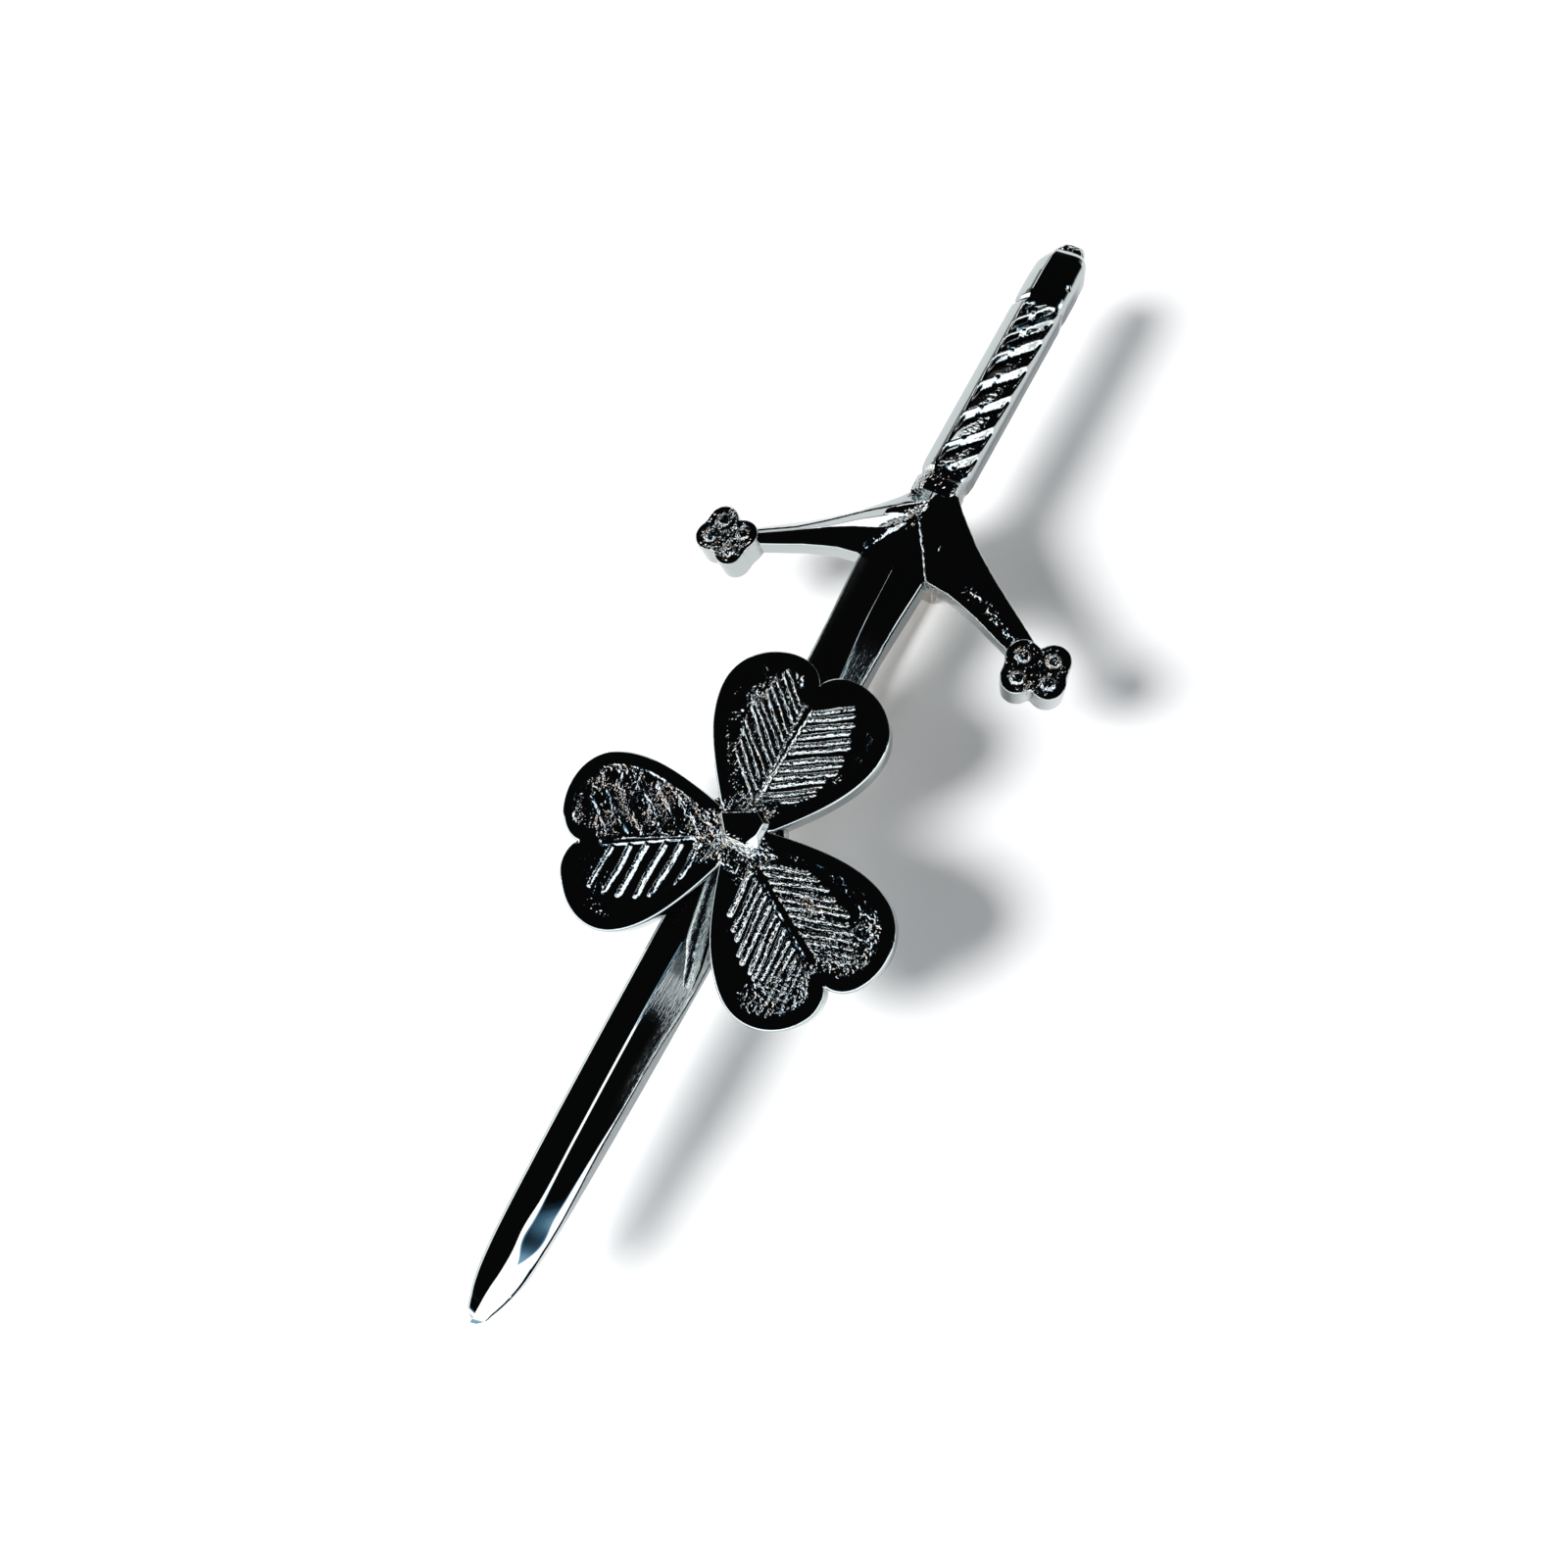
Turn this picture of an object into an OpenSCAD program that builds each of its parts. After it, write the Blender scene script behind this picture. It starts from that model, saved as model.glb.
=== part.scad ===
// Kilt pin in the form of a claymore with a shamrock badge, and a bar pin behind it.
// It lies on its back on the two feet of the bar pin: Z = 0 is the surface under it,
// +Y runs to the pommel and +X to the right as seen from the front.

/* [Blade] */
// Length from the point to the foot of the hilt
blade_len = 72; // [66:1:80]
// Full width of the blade at the guard
blade_w = 5.3; // [4.6:0.1:6.2]
// Height of the ridge above the flat back
blade_t = 2.2; // [2:0.1:2.6]
// Height of the blade's side walls
edge_t = 1.45; // [1.2:0.05:1.7]
// Width of the bevel along each edge
edge_bevel = 0.3; // [0.2:0.05:0.45]

/* [Guard] */
// Distance between the centres of the two quatrefoils
guard_span = 27.8; // [25:0.2:32]
// How far the quatrefoils lie below the foot of the hilt
guard_drop = 9.6; // [8:0.1:11]
// Height of the crest along each arm
guard_t = 2.5; // [2.3:0.1:2.9]
// Diameter of one lobe of a quatrefoil
lobe_d = 2.6; // [2.3:0.1:2.9]
// Distance between lobes across the arm
lobe_pitch_x = 2.25; // [1.9:0.05:2.5]
// Distance between lobes along the sword
lobe_pitch_y = 1.75; // [1.5:0.05:2.1]
// Turn of each quatrefoil, outer side up
lobe_turn = 13; // [0:1:25]
// Thickness of the quatrefoils
lobe_t = 2.6; // [2.2:0.1:2.9]
// Diameter of the small ball on each lobe
pip_d = 1; // [0.8:0.05:1.2]

/* [Hilt] */
// Width of the hilt
hilt_w = 4.4; // [4:0.1:5]
// Height of the hilt's rounded front above the flat back
hilt_t = 2.6; // [2.3:0.1:2.9]
// Length of the round knot above the guard
knot_len = 1.9; // [1.5:0.1:2.4]
// Length of each collar
collar_len = 1.1; // [0.8:0.1:1.5]
// Length of the twisted grip
grip_len = 16; // [14:0.5:18]
// Distance between strands along the hilt
strand_pitch = 2.9; // [2.4:0.1:3.4]
// Angle between a strand and the hilt's axis
strand_slope = 43; // [36:1:50]
// Depth of the valleys between strands
strand_depth = 0.36; // [0.2:0.02:0.5]
// Length of the smooth pommel
pommel_len = 4; // [3:0.2:6]
// Length of the button on the pommel
button_len = 1.3; // [1:0.1:1.8]

/* [Shamrock] */
// Distance from the sword's point to the middle of the shamrock
shamrock_y = 41; // [38:0.5:44]
// Length of a leaf from the middle to its lobes
leaf_len = 14.6; // [13:0.2:16]
// Full width of a leaf
leaf_w = 14.4; // [13:0.2:15.6]
// Thickness of the badge outside the blade
leaf_t = 1.8; // [1.5:0.1:2.3]
// Width of the polished border round each leaf
rim_w = 0.95; // [0.7:0.05:1.3]
// Depth of the grained field inside the border
field_depth = 0.3; // [0.15:0.05:0.4]
// Side veins on each half of a leaf
vein_count = 6; // [4:1:7]
// Distance between side veins along the midrib
vein_pitch = 1.45; // [1.2:0.05:1.6]
// Width of a side vein
vein_w = 0.56; // [0.4:0.02:0.7]
// Width of the midrib
midrib_w = 0.8; // [0.6:0.05:1.1]
// Height of the veins above the field
vein_h = 0.22; // [0.1:0.02:0.28]
// Diameter of the boss in the middle
boss_d = 3.3; // [2.8:0.1:3.8]
// Height of the boss above the leaves
boss_h = 0.8; // [0.5:0.1:1.1]
// Length of the stem from the middle to its cut end
stem_len = 12; // [10:0.5:13.5]
// Width of the stem where it is widest
stem_w = 1.9; // [1.5:0.1:2.2]
// Height of the stem above the blade's ridge
stem_h = 0.5; // [0.3:0.05:0.7]

/* [Bar pin] */
// Width of the bar against the sword's back
bar_w = 3.8; // [3.4:0.1:4.4]
// Thickness of the bar
bar_t = 0.9; // [0.7:0.05:1.2]
// Distance from the badge's middle to the catch end of the bar
catch_set = 7; // [5.5:0.5:8.5]
// Distance from the hinge end of the bar to the foot of the hilt
bar_set = 1; // [0:0.5:2]
// Diameter of the needle
needle_d = 1.4; // [1.1:0.05:1.6]
// Clear height between needle and bar
needle_gap = 4.9; // [4.8:0.1:5.8]
// Length of the hinge block
hinge_len = 3.4; // [3:0.1:4.5]
// Length of the catch
catch_len = 3; // [2.4:0.1:4]
// Wall of the catch
wall = 0.6; // [0.5:0.05:0.8]
// Length of the needle's taper beyond the catch's inner end
needle_taper = 1.6; // [1:0.1:2.5]
// How far the needle's tip stands out of the catch
tip_out = 0.6; // [0.3:0.1:1]

/* [Fits] */
// Clearance between pieces
gap = 0.08; // [0.05:0.01:0.15]
// Diameter of the badge's two posts
post_d = 1.5; // [1.3:0.05:1.8]
// Distance between the posts
post_pitch = 9; // [7:0.5:10]
// Diameter of the riveted heads
head_d = 2.6; // [2.2:0.1:3]
// Height of the riveted heads
head_h = 0.4; // [0.3:0.05:0.5]

/* [Hidden] */
$fn = 48;
// depth by which joined forms run into each other and cuts run past a face
joined = 0.2;

hilt_y = blade_len;
grip_y = hilt_y + knot_len + collar_len;
total_len = grip_y + grip_len + collar_len + pommel_len + button_len;
bar_top = wall + needle_d + 2 * gap + needle_gap + bar_t;
back_z = bar_top + gap;
post_drop = bar_t + head_h + 2 * gap;
reach = guard_span / 2;
leaf_under = edge_t + gap;
leaf_top = leaf_under + leaf_t;
edge_round = 0.45;
// the boss has a short upright side and a dome over the rest of its height
dome_h = 0.75 * boss_h;
cap_r = (pow(boss_d / 2, 2) + pow(dome_h, 2)) / (2 * dome_h);

// Outline of the blade: share of its length from the point, share of its half width,
// share of the wall's height and share of the ridge's height
blade_table = [
    [0.000, 0.10, 0.55, 0.52],
    [0.004, 0.19, 0.60, 0.55],
    [0.012, 0.31, 0.68, 0.62],
    [0.027, 0.48, 0.78, 0.72],
    [0.045, 0.62, 0.86, 0.80],
    [0.075, 0.73, 0.93, 0.89],
    [0.115, 0.79, 0.98, 0.95],
    [0.165, 0.83, 1.00, 1.00],
    [0.430, 0.94, 1.00, 1.00],
    [0.830, 1.00, 1.00, 1.00],
    [0.910, 1.12, 1.00, 1.00],
    [0.985, 1.12, 1.00, 1.00]
];

// Stations along an arm of the guard: places of its upper and lower edge as shares of the
// reach and of the drop, and the heights of crest and lower edge as shares of the crest's height
arm_table = [
    // upper x, upper y, lower x, lower y, crest, lower edge
    [0.000, -0.15, 0.000, 0.19, 1.00, 0.92],
    [0.170, -0.09, 0.125, 0.45, 1.00, 0.76],
    [0.290, 0.11, 0.225, 0.68, 0.98, 0.62],
    [0.420, 0.27, 0.360, 0.69, 0.94, 0.58],
    [0.575, 0.44, 0.535, 0.75, 0.88, 0.54],
    [0.730, 0.59, 0.695, 0.85, 0.84, 0.54],
    [0.880, 0.74, 0.860, 0.95, 0.82, 0.56]
];
crest_share = 0.3;
upper_share = 0.36;

// Parts of the hilt: share of the part's own length, share of the half width and of the height
knot_table = [
    [-0.50, 0.80, 0.70],
    [0.05, 0.80, 0.72],
    [0.30, 0.98, 0.98],
    [0.70, 0.98, 0.98],
    [0.95, 0.90, 0.82]
];
collar_table = [
    [0.00, 0.90, 0.90],
    [0.10, 1.00, 1.02],
    [0.90, 1.00, 1.02],
    [1.00, 0.94, 0.90]
];
pommel_table = [
    [0.04, 0.93, 0.92],
    [0.72, 0.97, 0.96],
    [0.90, 0.86, 0.86],
    [1.00, 0.70, 0.72]
];
button_table = [
    [0.08, 0.62, 0.66],
    [0.35, 0.62, 0.70],
    [0.75, 0.50, 0.60],
    [1.00, 0.24, 0.40]
];
hilt_steps = 18;
grip_slices = 32;
// how square the hilt's section is: 1 is a half ellipse, 0 a box
hilt_curve = 0.55;

// Half outline of a leaf, as shares of its length and of its half width
leaf_heel = [0.000, 0.00];
leaf_base = [0.070, 0.285];
leaf_wide = [0.705, 1.00];
leaf_lobe = [1.000, 0.34];
leaf_notch = [0.905, 0.00];

// Edges of the stem: share of its length from the middle, left and right edge
// as shares of its width
stem_table = [
    [0.10, -0.33, 0.33],
    [0.34, -0.34, 0.40],
    [0.47, -0.26, 0.63],
    [0.60, -0.10, 0.90],
    [0.72, 0.08, 1.12],
    [0.84, 0.46, 1.32],
    [1.00, 0.88, 1.34]
];

function between(a, b, t) = a + (b - a) * t;
function bezier(a, b, c, d, n) = [
    for (i = [0 : n - 1]) let (t = i / n)
        pow(1 - t, 3) * a + 3 * pow(1 - t, 2) * t * b + 3 * (1 - t) * t * t * c + pow(t, 3) * d
];
function mirrored(half) = concat(half, [for (i = [len(half) - 2 : -1 : 1]) [half[i][0], -half[i][1]]]);

// Moves each point of a closed outline inwards by a distance
function inset(p, d) = let (n = len(p)) [
    for (i = [0 : n - 1])
        let (t = p[(i + 1) % n] - p[(i + n - 1) % n], m = norm(t))
            p[i] + d * [t[1], -t[0]] / m
];

// Middle of a ring of points
function middle(ring, i = 0) =
    i == len(ring) ? [0, 0, 0] : ring[i] / len(ring) + middle(ring, i + 1);

// Skin over rings of points, each ring with the same number of points; both ends are closed
// by triangles that meet in the ring's middle
module skin(rings) {
    n = len(rings[0]);
    last = (len(rings) - 1) * n;
    low_mid = last + n;
    high_mid = low_mid + 1;
    sides = [
        for (r = [0 : len(rings) - 2], i = [0 : n - 1])
            let (j = (i + 1) % n, a = r * n + i, b = r * n + j)
                each [[a, a + n, b], [b, a + n, b + n]]
    ];
    ends = [
        for (i = [0 : n - 1])
            let (j = (i + 1) % n)
                each [[i, j, low_mid], [last + j, last + i, high_mid]]
    ];
    polyhedron(
        points = concat([for (r = rings) each r], [middle(rings[0]), middle(rings[len(rings) - 1])]),
        faces = concat(sides, ends)
    );
}

// Section of the blade: flat back, upright walls, narrow bevels and a roof to the ridge
function blade_ring(y, half, wall_h, ridge_h, bevel) = [
    for (p = [[-half, 0], [-half, wall_h - bevel], [-half + bevel, wall_h], [0, ridge_h],
              [half - bevel, wall_h], [half, wall_h - bevel], [half, 0]])
        [p[0], y, p[1]]
];

module blade() {
    skin([
        for (row = blade_table)
            let (half = row[1] * blade_w / 2)
                blade_ring(row[0] * blade_len, half, row[2] * edge_t, row[3] * blade_t,
                           min(edge_bevel, half / 2))
    ]);
}

// One arm of the guard, on the right of the sword
module arm() {
    skin([
        for (row = arm_table)
            let (
                up = [row[0] * reach, hilt_y - row[1] * guard_drop],
                low = [row[2] * reach, hilt_y - row[3] * guard_drop],
                crest = between(up, low, crest_share),
                top_h = row[4] * guard_t
            )
                [
                    [up[0], up[1], 0],
                    [up[0], up[1], upper_share * top_h],
                    [crest[0], crest[1], top_h],
                    [low[0], low[1], row[5] * guard_t],
                    [low[0], low[1], 0]
                ]
    ]);
}

// Four lobes in a square, each with a ball on its face, set at the end of an arm
module quatrefoil() {
    translate([reach, hilt_y - guard_drop, 0])
        rotate(lobe_turn) {
            for (sx = [-1, 1], sy = [-1, 1])
                translate([sx * lobe_pitch_x / 2, sy * lobe_pitch_y / 2, 0]) {
                    cylinder(d = lobe_d, h = lobe_t);
                    translate([0, 0, lobe_t])
                        sphere(d = pip_d);
                }
            translate([-lobe_pitch_x / 2, -lobe_pitch_y / 2, 0])
                cube([lobe_pitch_x, lobe_pitch_y, lobe_t]);
        }
}

// Section of the hilt: a flat back, upright sides and a front with well rounded shoulders,
// which lies lower by cut(x) times its rise
function bowed(value) = sign(value) * pow(abs(value), hilt_curve);
function hilt_ring(y, half, top, cut) = [
    for (i = [0 : hilt_steps])
        let (a = 180 - 180 * i / hilt_steps, x = half * bowed(cos(a)), rise = bowed(max(0, sin(a))))
            [x, y, (top - cut(x)) * rise]
];
// Valleys that run slantwise over the front only, so that the sides stay smooth
function strands(y) = function(x)
    strand_depth / 2 * (1 + cos(360 * (y - x / tan(strand_slope)) / strand_pitch));

// Smooth rings of one part of the hilt, which starts at y
function smooth_rings(table, y, length) = [
    for (r = table) hilt_ring(y + r[0] * length, r[1] * hilt_w / 2, r[2] * hilt_t, function(x) 0)
];

module hilt() {
    collar_y = hilt_y + knot_len;
    top_y = grip_y + grip_len;
    pommel_y = top_y + collar_len;
    skin(concat(
        smooth_rings(knot_table, hilt_y, knot_len),
        smooth_rings(collar_table, collar_y, collar_len),
        [for (i = [1 : grip_slices - 1])
            let (y = i * grip_len / grip_slices)
                hilt_ring(grip_y + y, hilt_w / 2, hilt_t, strands(y))],
        smooth_rings(collar_table, top_y, collar_len),
        smooth_rings(pommel_table, pommel_y, pommel_len),
        smooth_rings(button_table, pommel_y + pommel_len, button_len)
    ));
}

// Places of the two posts: one through the middle, one under the upper leaf
post_places = [shamrock_y, shamrock_y + post_pitch];
module post_holes(low, high) {
    for (y = post_places)
        translate([0, y, low])
            cylinder(d = post_d + 2 * gap, h = high - low);
}

module place(z) {
    translate([0, -total_len / 2, z])
        children();
}

module sword() {
    color("silver")
        place(back_z)
            difference() {
                union() {
                    blade();
                    hilt();
                    arm();
                    mirror([1, 0, 0])
                        arm();
                    quatrefoil();
                    mirror([1, 0, 0])
                        quatrefoil();
                }
                post_holes(-joined, blade_t + joined);
            }
}

// Outline of one leaf along +Y from the middle, in points anticlockwise
function leaf_point(share) = [share[0] * leaf_len, share[1] * leaf_w / 2];
function leaf_outline() =
    let (
        heel = leaf_point(leaf_heel), base = leaf_point(leaf_base), wide = leaf_point(leaf_wide),
        lobe = leaf_point(leaf_lobe), notch = leaf_point(leaf_notch),
        side = wide[0] - base[0], top = lobe[0] - wide[0], dip = lobe[0] - notch[0]
    )
        mirrored(concat(
            [heel],
            bezier(base, base + side * [0.34, 0.4], wide - [side * 0.33, 0], wide, 7),
            bezier(wide, wide + [top * 0.55, 0], lobe + [0, (wide[1] - lobe[1]) * 0.55], lobe, 7),
            bezier(lobe, lobe - [0, lobe[1] * 0.55], notch + [dip * 0.5, lobe[1] * 0.12], notch, 5),
            [notch]
        ));
function upright(p, z) = [for (q = p) [q[1], q[0], z]];

// Leaf with a draft on its wall, a rounded rim, a flat border and a sunk field
module leaf() {
    p = leaf_outline();
    inner = edge_round + rim_w;
    draft = leaf_t / 15;
    skin([
        upright(inset(p, draft), leaf_under),
        upright(p, leaf_under + 0.3 * leaf_t),
        upright(p, leaf_top - edge_round),
        upright(inset(p, edge_round * 0.3), leaf_top - edge_round * 0.3),
        upright(inset(p, edge_round), leaf_top),
        upright(inset(p, inner), leaf_top),
        upright(inset(p, inner + field_depth), leaf_top - field_depth)
    ]);
}

// Raised midrib and side veins of one leaf, which run out towards the lobes
vein_turn = 56;
module veins() {
    first = leaf_len * 0.185;
    last = leaf_len * 0.9;
    reach_out = leaf_w * 0.5;
    border = inset(leaf_outline(), edge_round + rim_w / 2);
    translate([0, 0, leaf_top - field_depth - joined])
        linear_extrude(vein_h + joined)
            intersection() {
                polygon([for (q = border) [q[1], q[0]]]);
                union() {
                    polygon([
                        [-midrib_w * 0.6, first],
                        [midrib_w * 0.6, first],
                        [midrib_w * 0.35, last],
                        [-midrib_w * 0.35, last]
                    ]);
                    for (s = [-1, 1], i = [0 : vein_count - 1])
                        translate([0, first + i * vein_pitch])
                            rotate(-s * vein_turn)
                                translate([-vein_w / 2, 0])
                                    square([vein_w, reach_out]);
                }
            }
}

// Stem from the middle, down the blade to its cut end on the right
module stem() {
    left = [for (r = stem_table) [r[1] * stem_w, -r[0] * stem_len]];
    right = [for (i = [len(stem_table) - 1 : -1 : 0])
        [stem_table[i][2] * stem_w, -stem_table[i][0] * stem_len]];
    translate([0, 0, leaf_under])
        linear_extrude(blade_t + stem_h - leaf_under)
            polygon(concat(left, right));
}

// Boss with a domed top, on a foot that rises out of the fields and a lower web between the leaves
module boss() {
    translate([0, 0, leaf_under]) {
        cylinder(d = boss_d * 1.5, h = leaf_t - field_depth / 2);
        cylinder(d = boss_d * 2.2, h = leaf_t * 0.6);
        intersection() {
            cylinder(d = boss_d, h = leaf_t + boss_h);
            translate([0, 0, leaf_t + boss_h - cap_r])
                sphere(r = cap_r);
        }
    }
}

// Groove under the badge, which fits over the blade with the clearance on every side
module blade_groove() {
    half = blade_w / 2 + gap;
    top = blade_t + gap;
    long = leaf_len * 2;
    translate([0, shamrock_y + long / 2, 0])
        rotate([90, 0, 0])
            linear_extrude(long)
                polygon([[-half, 0], [-half, edge_t + gap], [0, top], [half, edge_t + gap], [half, 0]]);
}

module shamrock() {
    color("gainsboro")
        place(back_z) {
            difference() {
                translate([0, shamrock_y, 0]) {
                    for (a = [0, 120, 240])
                        rotate(a) {
                            leaf();
                            veins();
                        }
                    boss();
                    stem();
                }
                blade_groove();
            }
            // posts down through the blade and the bar, with their riveted heads
            for (y = post_places)
                translate([0, y, -post_drop]) {
                    cylinder(d = post_d, h = post_drop + blade_t + gap + joined);
                    cylinder(d = head_d, h = head_h);
                }
        }
}

// Bar against the sword's back, with the hinge block at the hilt's end and the catch
// behind the shamrock; the needle springs from the block and ends in the catch
module bar_pin() {
    hinge_end = hilt_y - bar_set;
    catch_end = shamrock_y - catch_set;
    needle_z = wall + gap + needle_d / 2;
    needle_from = hinge_end - hinge_len / 2;
    taper_y = catch_end + catch_len + needle_taper;
    tip_y = catch_end - tip_out;
    color("darkgray")
        place(0)
            difference() {
                union() {
                    translate([-bar_w / 2, catch_end, bar_top - bar_t])
                        cube([bar_w, hinge_end - catch_end, bar_t]);
                    // hinge block, whose sole is the upper foot
                    translate([-bar_w / 2, hinge_end - hinge_len, 0])
                        cube([bar_w, hinge_len, bar_top]);
                    // needle and its tapered tip
                    translate([0, needle_from, needle_z])
                        rotate([90, 0, 0])
                            cylinder(d = needle_d, h = needle_from - taper_y);
                    translate([0, taper_y, needle_z])
                        rotate([90, 0, 0])
                            cylinder(d1 = needle_d, d2 = needle_d / 5, h = taper_y - tip_y);
                    // catch: a wall down one side and a hook under the needle
                    translate([-bar_w / 2, catch_end, 0])
                        cube([wall, catch_len, bar_top]);
                    translate([-bar_w / 2, catch_end, 0])
                        cube([bar_w, catch_len, wall]);
                    translate([bar_w / 2 - wall, catch_end, 0])
                        cube([wall, catch_len, wall + needle_d]);
                }
                post_holes(bar_top - bar_t - joined, bar_top + joined);
            }
}

sword();
shamrock();
bar_pin();
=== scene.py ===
"""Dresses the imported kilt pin: a chromed claymore with a shamrock badge, on a pale floor.

An add-on with sizes in property groups, an operator for each piece and one for the stage, and a
panel that lists them. Shapes are worked out in millimetres, with y from the sword's point and z
from its flat back, and go into the frame when a piece is done.
"""

import math

import bmesh
import bpy
import numpy as np
from bpy.props import FloatProperty, FloatVectorProperty, IntProperty, PointerProperty
from mathutils import Euler, Matrix, Vector
from mathutils.geometry import interpolate_bezier


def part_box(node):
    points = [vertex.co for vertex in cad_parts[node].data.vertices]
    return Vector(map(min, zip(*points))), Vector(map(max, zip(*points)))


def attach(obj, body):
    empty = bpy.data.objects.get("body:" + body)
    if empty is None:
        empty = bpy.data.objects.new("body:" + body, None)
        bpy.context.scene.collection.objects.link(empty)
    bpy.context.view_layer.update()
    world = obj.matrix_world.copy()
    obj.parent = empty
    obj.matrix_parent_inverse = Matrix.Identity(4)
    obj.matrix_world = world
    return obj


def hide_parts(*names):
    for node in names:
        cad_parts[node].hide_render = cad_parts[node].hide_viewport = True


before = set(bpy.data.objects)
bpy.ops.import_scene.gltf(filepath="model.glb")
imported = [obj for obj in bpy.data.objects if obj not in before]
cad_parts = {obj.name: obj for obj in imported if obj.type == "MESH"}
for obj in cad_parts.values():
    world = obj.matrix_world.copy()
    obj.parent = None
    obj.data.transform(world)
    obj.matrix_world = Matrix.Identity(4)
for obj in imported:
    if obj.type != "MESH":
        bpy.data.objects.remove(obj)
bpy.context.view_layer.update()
MM = 0.001
TIP_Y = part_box("sword")[0][1] / MM
BACK_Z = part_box("sword")[0][2] / MM
# Clearance between the pieces, in millimetres as all bare lengths below
GAP = 0.08

bl_info = {
    "name": "Kilt Pin",
    "version": (1, 0, 0),
    "blender": (4, 5, 0),
    "location": "View3D > Sidebar > Kilt Pin",
    "description": "Builds a chromed sword kilt pin with a shamrock badge",
    "category": "Add Mesh",
}


# Sizes


def length(name, description, default):
    """A length given in millimetres, kept in metres."""
    style = {"unit": "LENGTH", "subtype": "DISTANCE", "precision": 5}
    return FloatProperty(name=name, description=description, default=default * MM, **style)


def srgb(name, description, default):
    """A colour in sRGB."""
    style = {"size": 3, "subtype": "COLOR_GAMMA", "min": 0, "max": 1}
    return FloatVectorProperty(name=name, description=description, default=default, **style)


class SwordSizes(bpy.types.PropertyGroup):
    blade_width: length("Blade width", "Full width where the blade meets the guard", 5.3)
    ridge_height: length("Ridge height", "Height of the blade's ridge above the flat back", 2.2)
    ridge_step: length("Ridge step", "Drop of the right face just beside the ridge", 0.13)
    strand_depth: length("Strand depth", "Depth of the valleys in the twisted grip", 0.6)
    strand_slope: FloatProperty(
        name="Strand slope",
        description="Angle between a strand and the hilt's axis",
        default=math.radians(47),
        unit="ROTATION",
        subtype="ANGLE",
    )
    lobe_diameter: length("Lobe diameter", "Diameter of one lobe of a quatrefoil", 2.6)
    lobe_height: length("Lobe height", "Thickness of the quatrefoils", 2.6)
    ball_diameter: length("Ball diameter", "Diameter of the low ball on each lobe", 1.1)


class BadgeSizes(bpy.types.PropertyGroup):
    middle: length("Middle", "Distance from the sword's point to the badge's middle", 41)
    leaf_length: length("Leaf length", "From the middle to the lobes", 14.6)
    leaf_width: length("Leaf width", "Full width of a leaf", 14.4)
    under: length("Underside", "Height of the badge's underside above the sword's back", 1.53)
    thickness: length("Thickness", "Thickness of a leaf", 1.8)
    edge_round: length("Edge rounding", "Radius of the leaf's upper edge", 0.12)
    border: length("Border", "Width of the polished border", 0.8)
    field_depth: length("Field depth", "Depth of the grained field", 0.3)
    vein_count: IntProperty(name="Veins", description="Side veins on half a leaf", default=6, min=2)
    vein_pitch: length("Vein pitch", "Distance between side veins along the midrib", 1.45)
    vein_height: length("Vein height", "Height of a side vein above the field", 0.2)
    boss_height: length("Boss height", "Height of the boss above the leaves", 0.8)
    post_diameter: length("Post diameter", "Diameter of the hidden posts", 1.5)
    post_pitch: length("Post pitch", "Distance between the two posts", 9)
    head_diameter: length("Head diameter", "Diameter of the riveted heads", 2.6)
    head_height: length("Head height", "Height of the riveted heads", 0.4)


class BarSizes(bpy.types.PropertyGroup):
    bar_width: length("Bar width", "Width of the bar against the sword's back", 3.8)
    bar_thickness: length("Bar thickness", "Thickness of the bar", 0.9)
    needle_diameter: length("Needle diameter", "Diameter of the needle", 1.4)
    clear_height: length("Clear height", "Clear height between needle and bar", 4.9)
    wall: length("Catch wall", "Thickness of the catch", 0.6)
    catch_length: length("Catch length", "Length of the catch", 3)
    hinge_length: length("Hinge length", "Length of the hinge block", 3.4)


class PinColours(bpy.types.PropertyGroup):
    chrome: srgb("Chrome", "Colour of the chrome plate", (0.70, 0.722, 0.722))
    nickel: srgb("Nickel", "Colour of the nickel plate", (0.74, 0.71, 0.66))
    floor: srgb("Floor", "Colour of the floor", (0.97, 0.97, 0.97))


# Curves and surfaces


def curve(points, x):
    """A smooth curve through values at places, read at x."""
    place, value = np.array(list(points.items()), float).T
    slope = np.gradient(value, place)
    i = np.clip(np.searchsorted(place, x) - 1, 0, len(place) - 2)
    step = place[i + 1] - place[i]
    t = np.clip((x - place[i]) / step, 0, 1)
    return (
        value[i] * (2 * t**3 - 3 * t**2 + 1)
        + slope[i] * step * (t**3 - 2 * t**2 + t)
        + value[i + 1] * (3 * t**2 - 2 * t**3)
        + slope[i + 1] * step * (t**3 - t**2)
    )


def line(points, x):
    """Straight runs through values at places, read at x."""
    return np.interp(x, list(points), list(points.values()))


def ease(x, low, high):
    """Goes smoothly from 0 at low to 1 at high."""
    t = np.clip((x - low) / (high - low), 0, 1)
    return t * t * (3 - 2 * t)


def soft_band(x, start, full, fading, end):
    """Goes smoothly from 0 to 1 between the first two places and back between the last two."""
    return ease(x, start, full) * (1 - ease(x, fading, end))


def bell(distance, width):
    """1 in the middle, falling off over a width on both sides."""
    return np.exp(-((distance / width) ** 2))


def soft_max(a, b, round_off):
    return 0.5 * (a + b + np.sqrt((a - b) ** 2 + round_off**2))


def soft_min(a, b, round_off):
    return -soft_max(-a, -b, round_off)


def edge_drop(distance, radius):
    """How far a rounded edge lies below its face, at a distance from the wall."""
    d = np.clip(distance / radius, 0, 1)
    return radius * (1 - np.sqrt(1 - (1 - d) ** 2))


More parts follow.
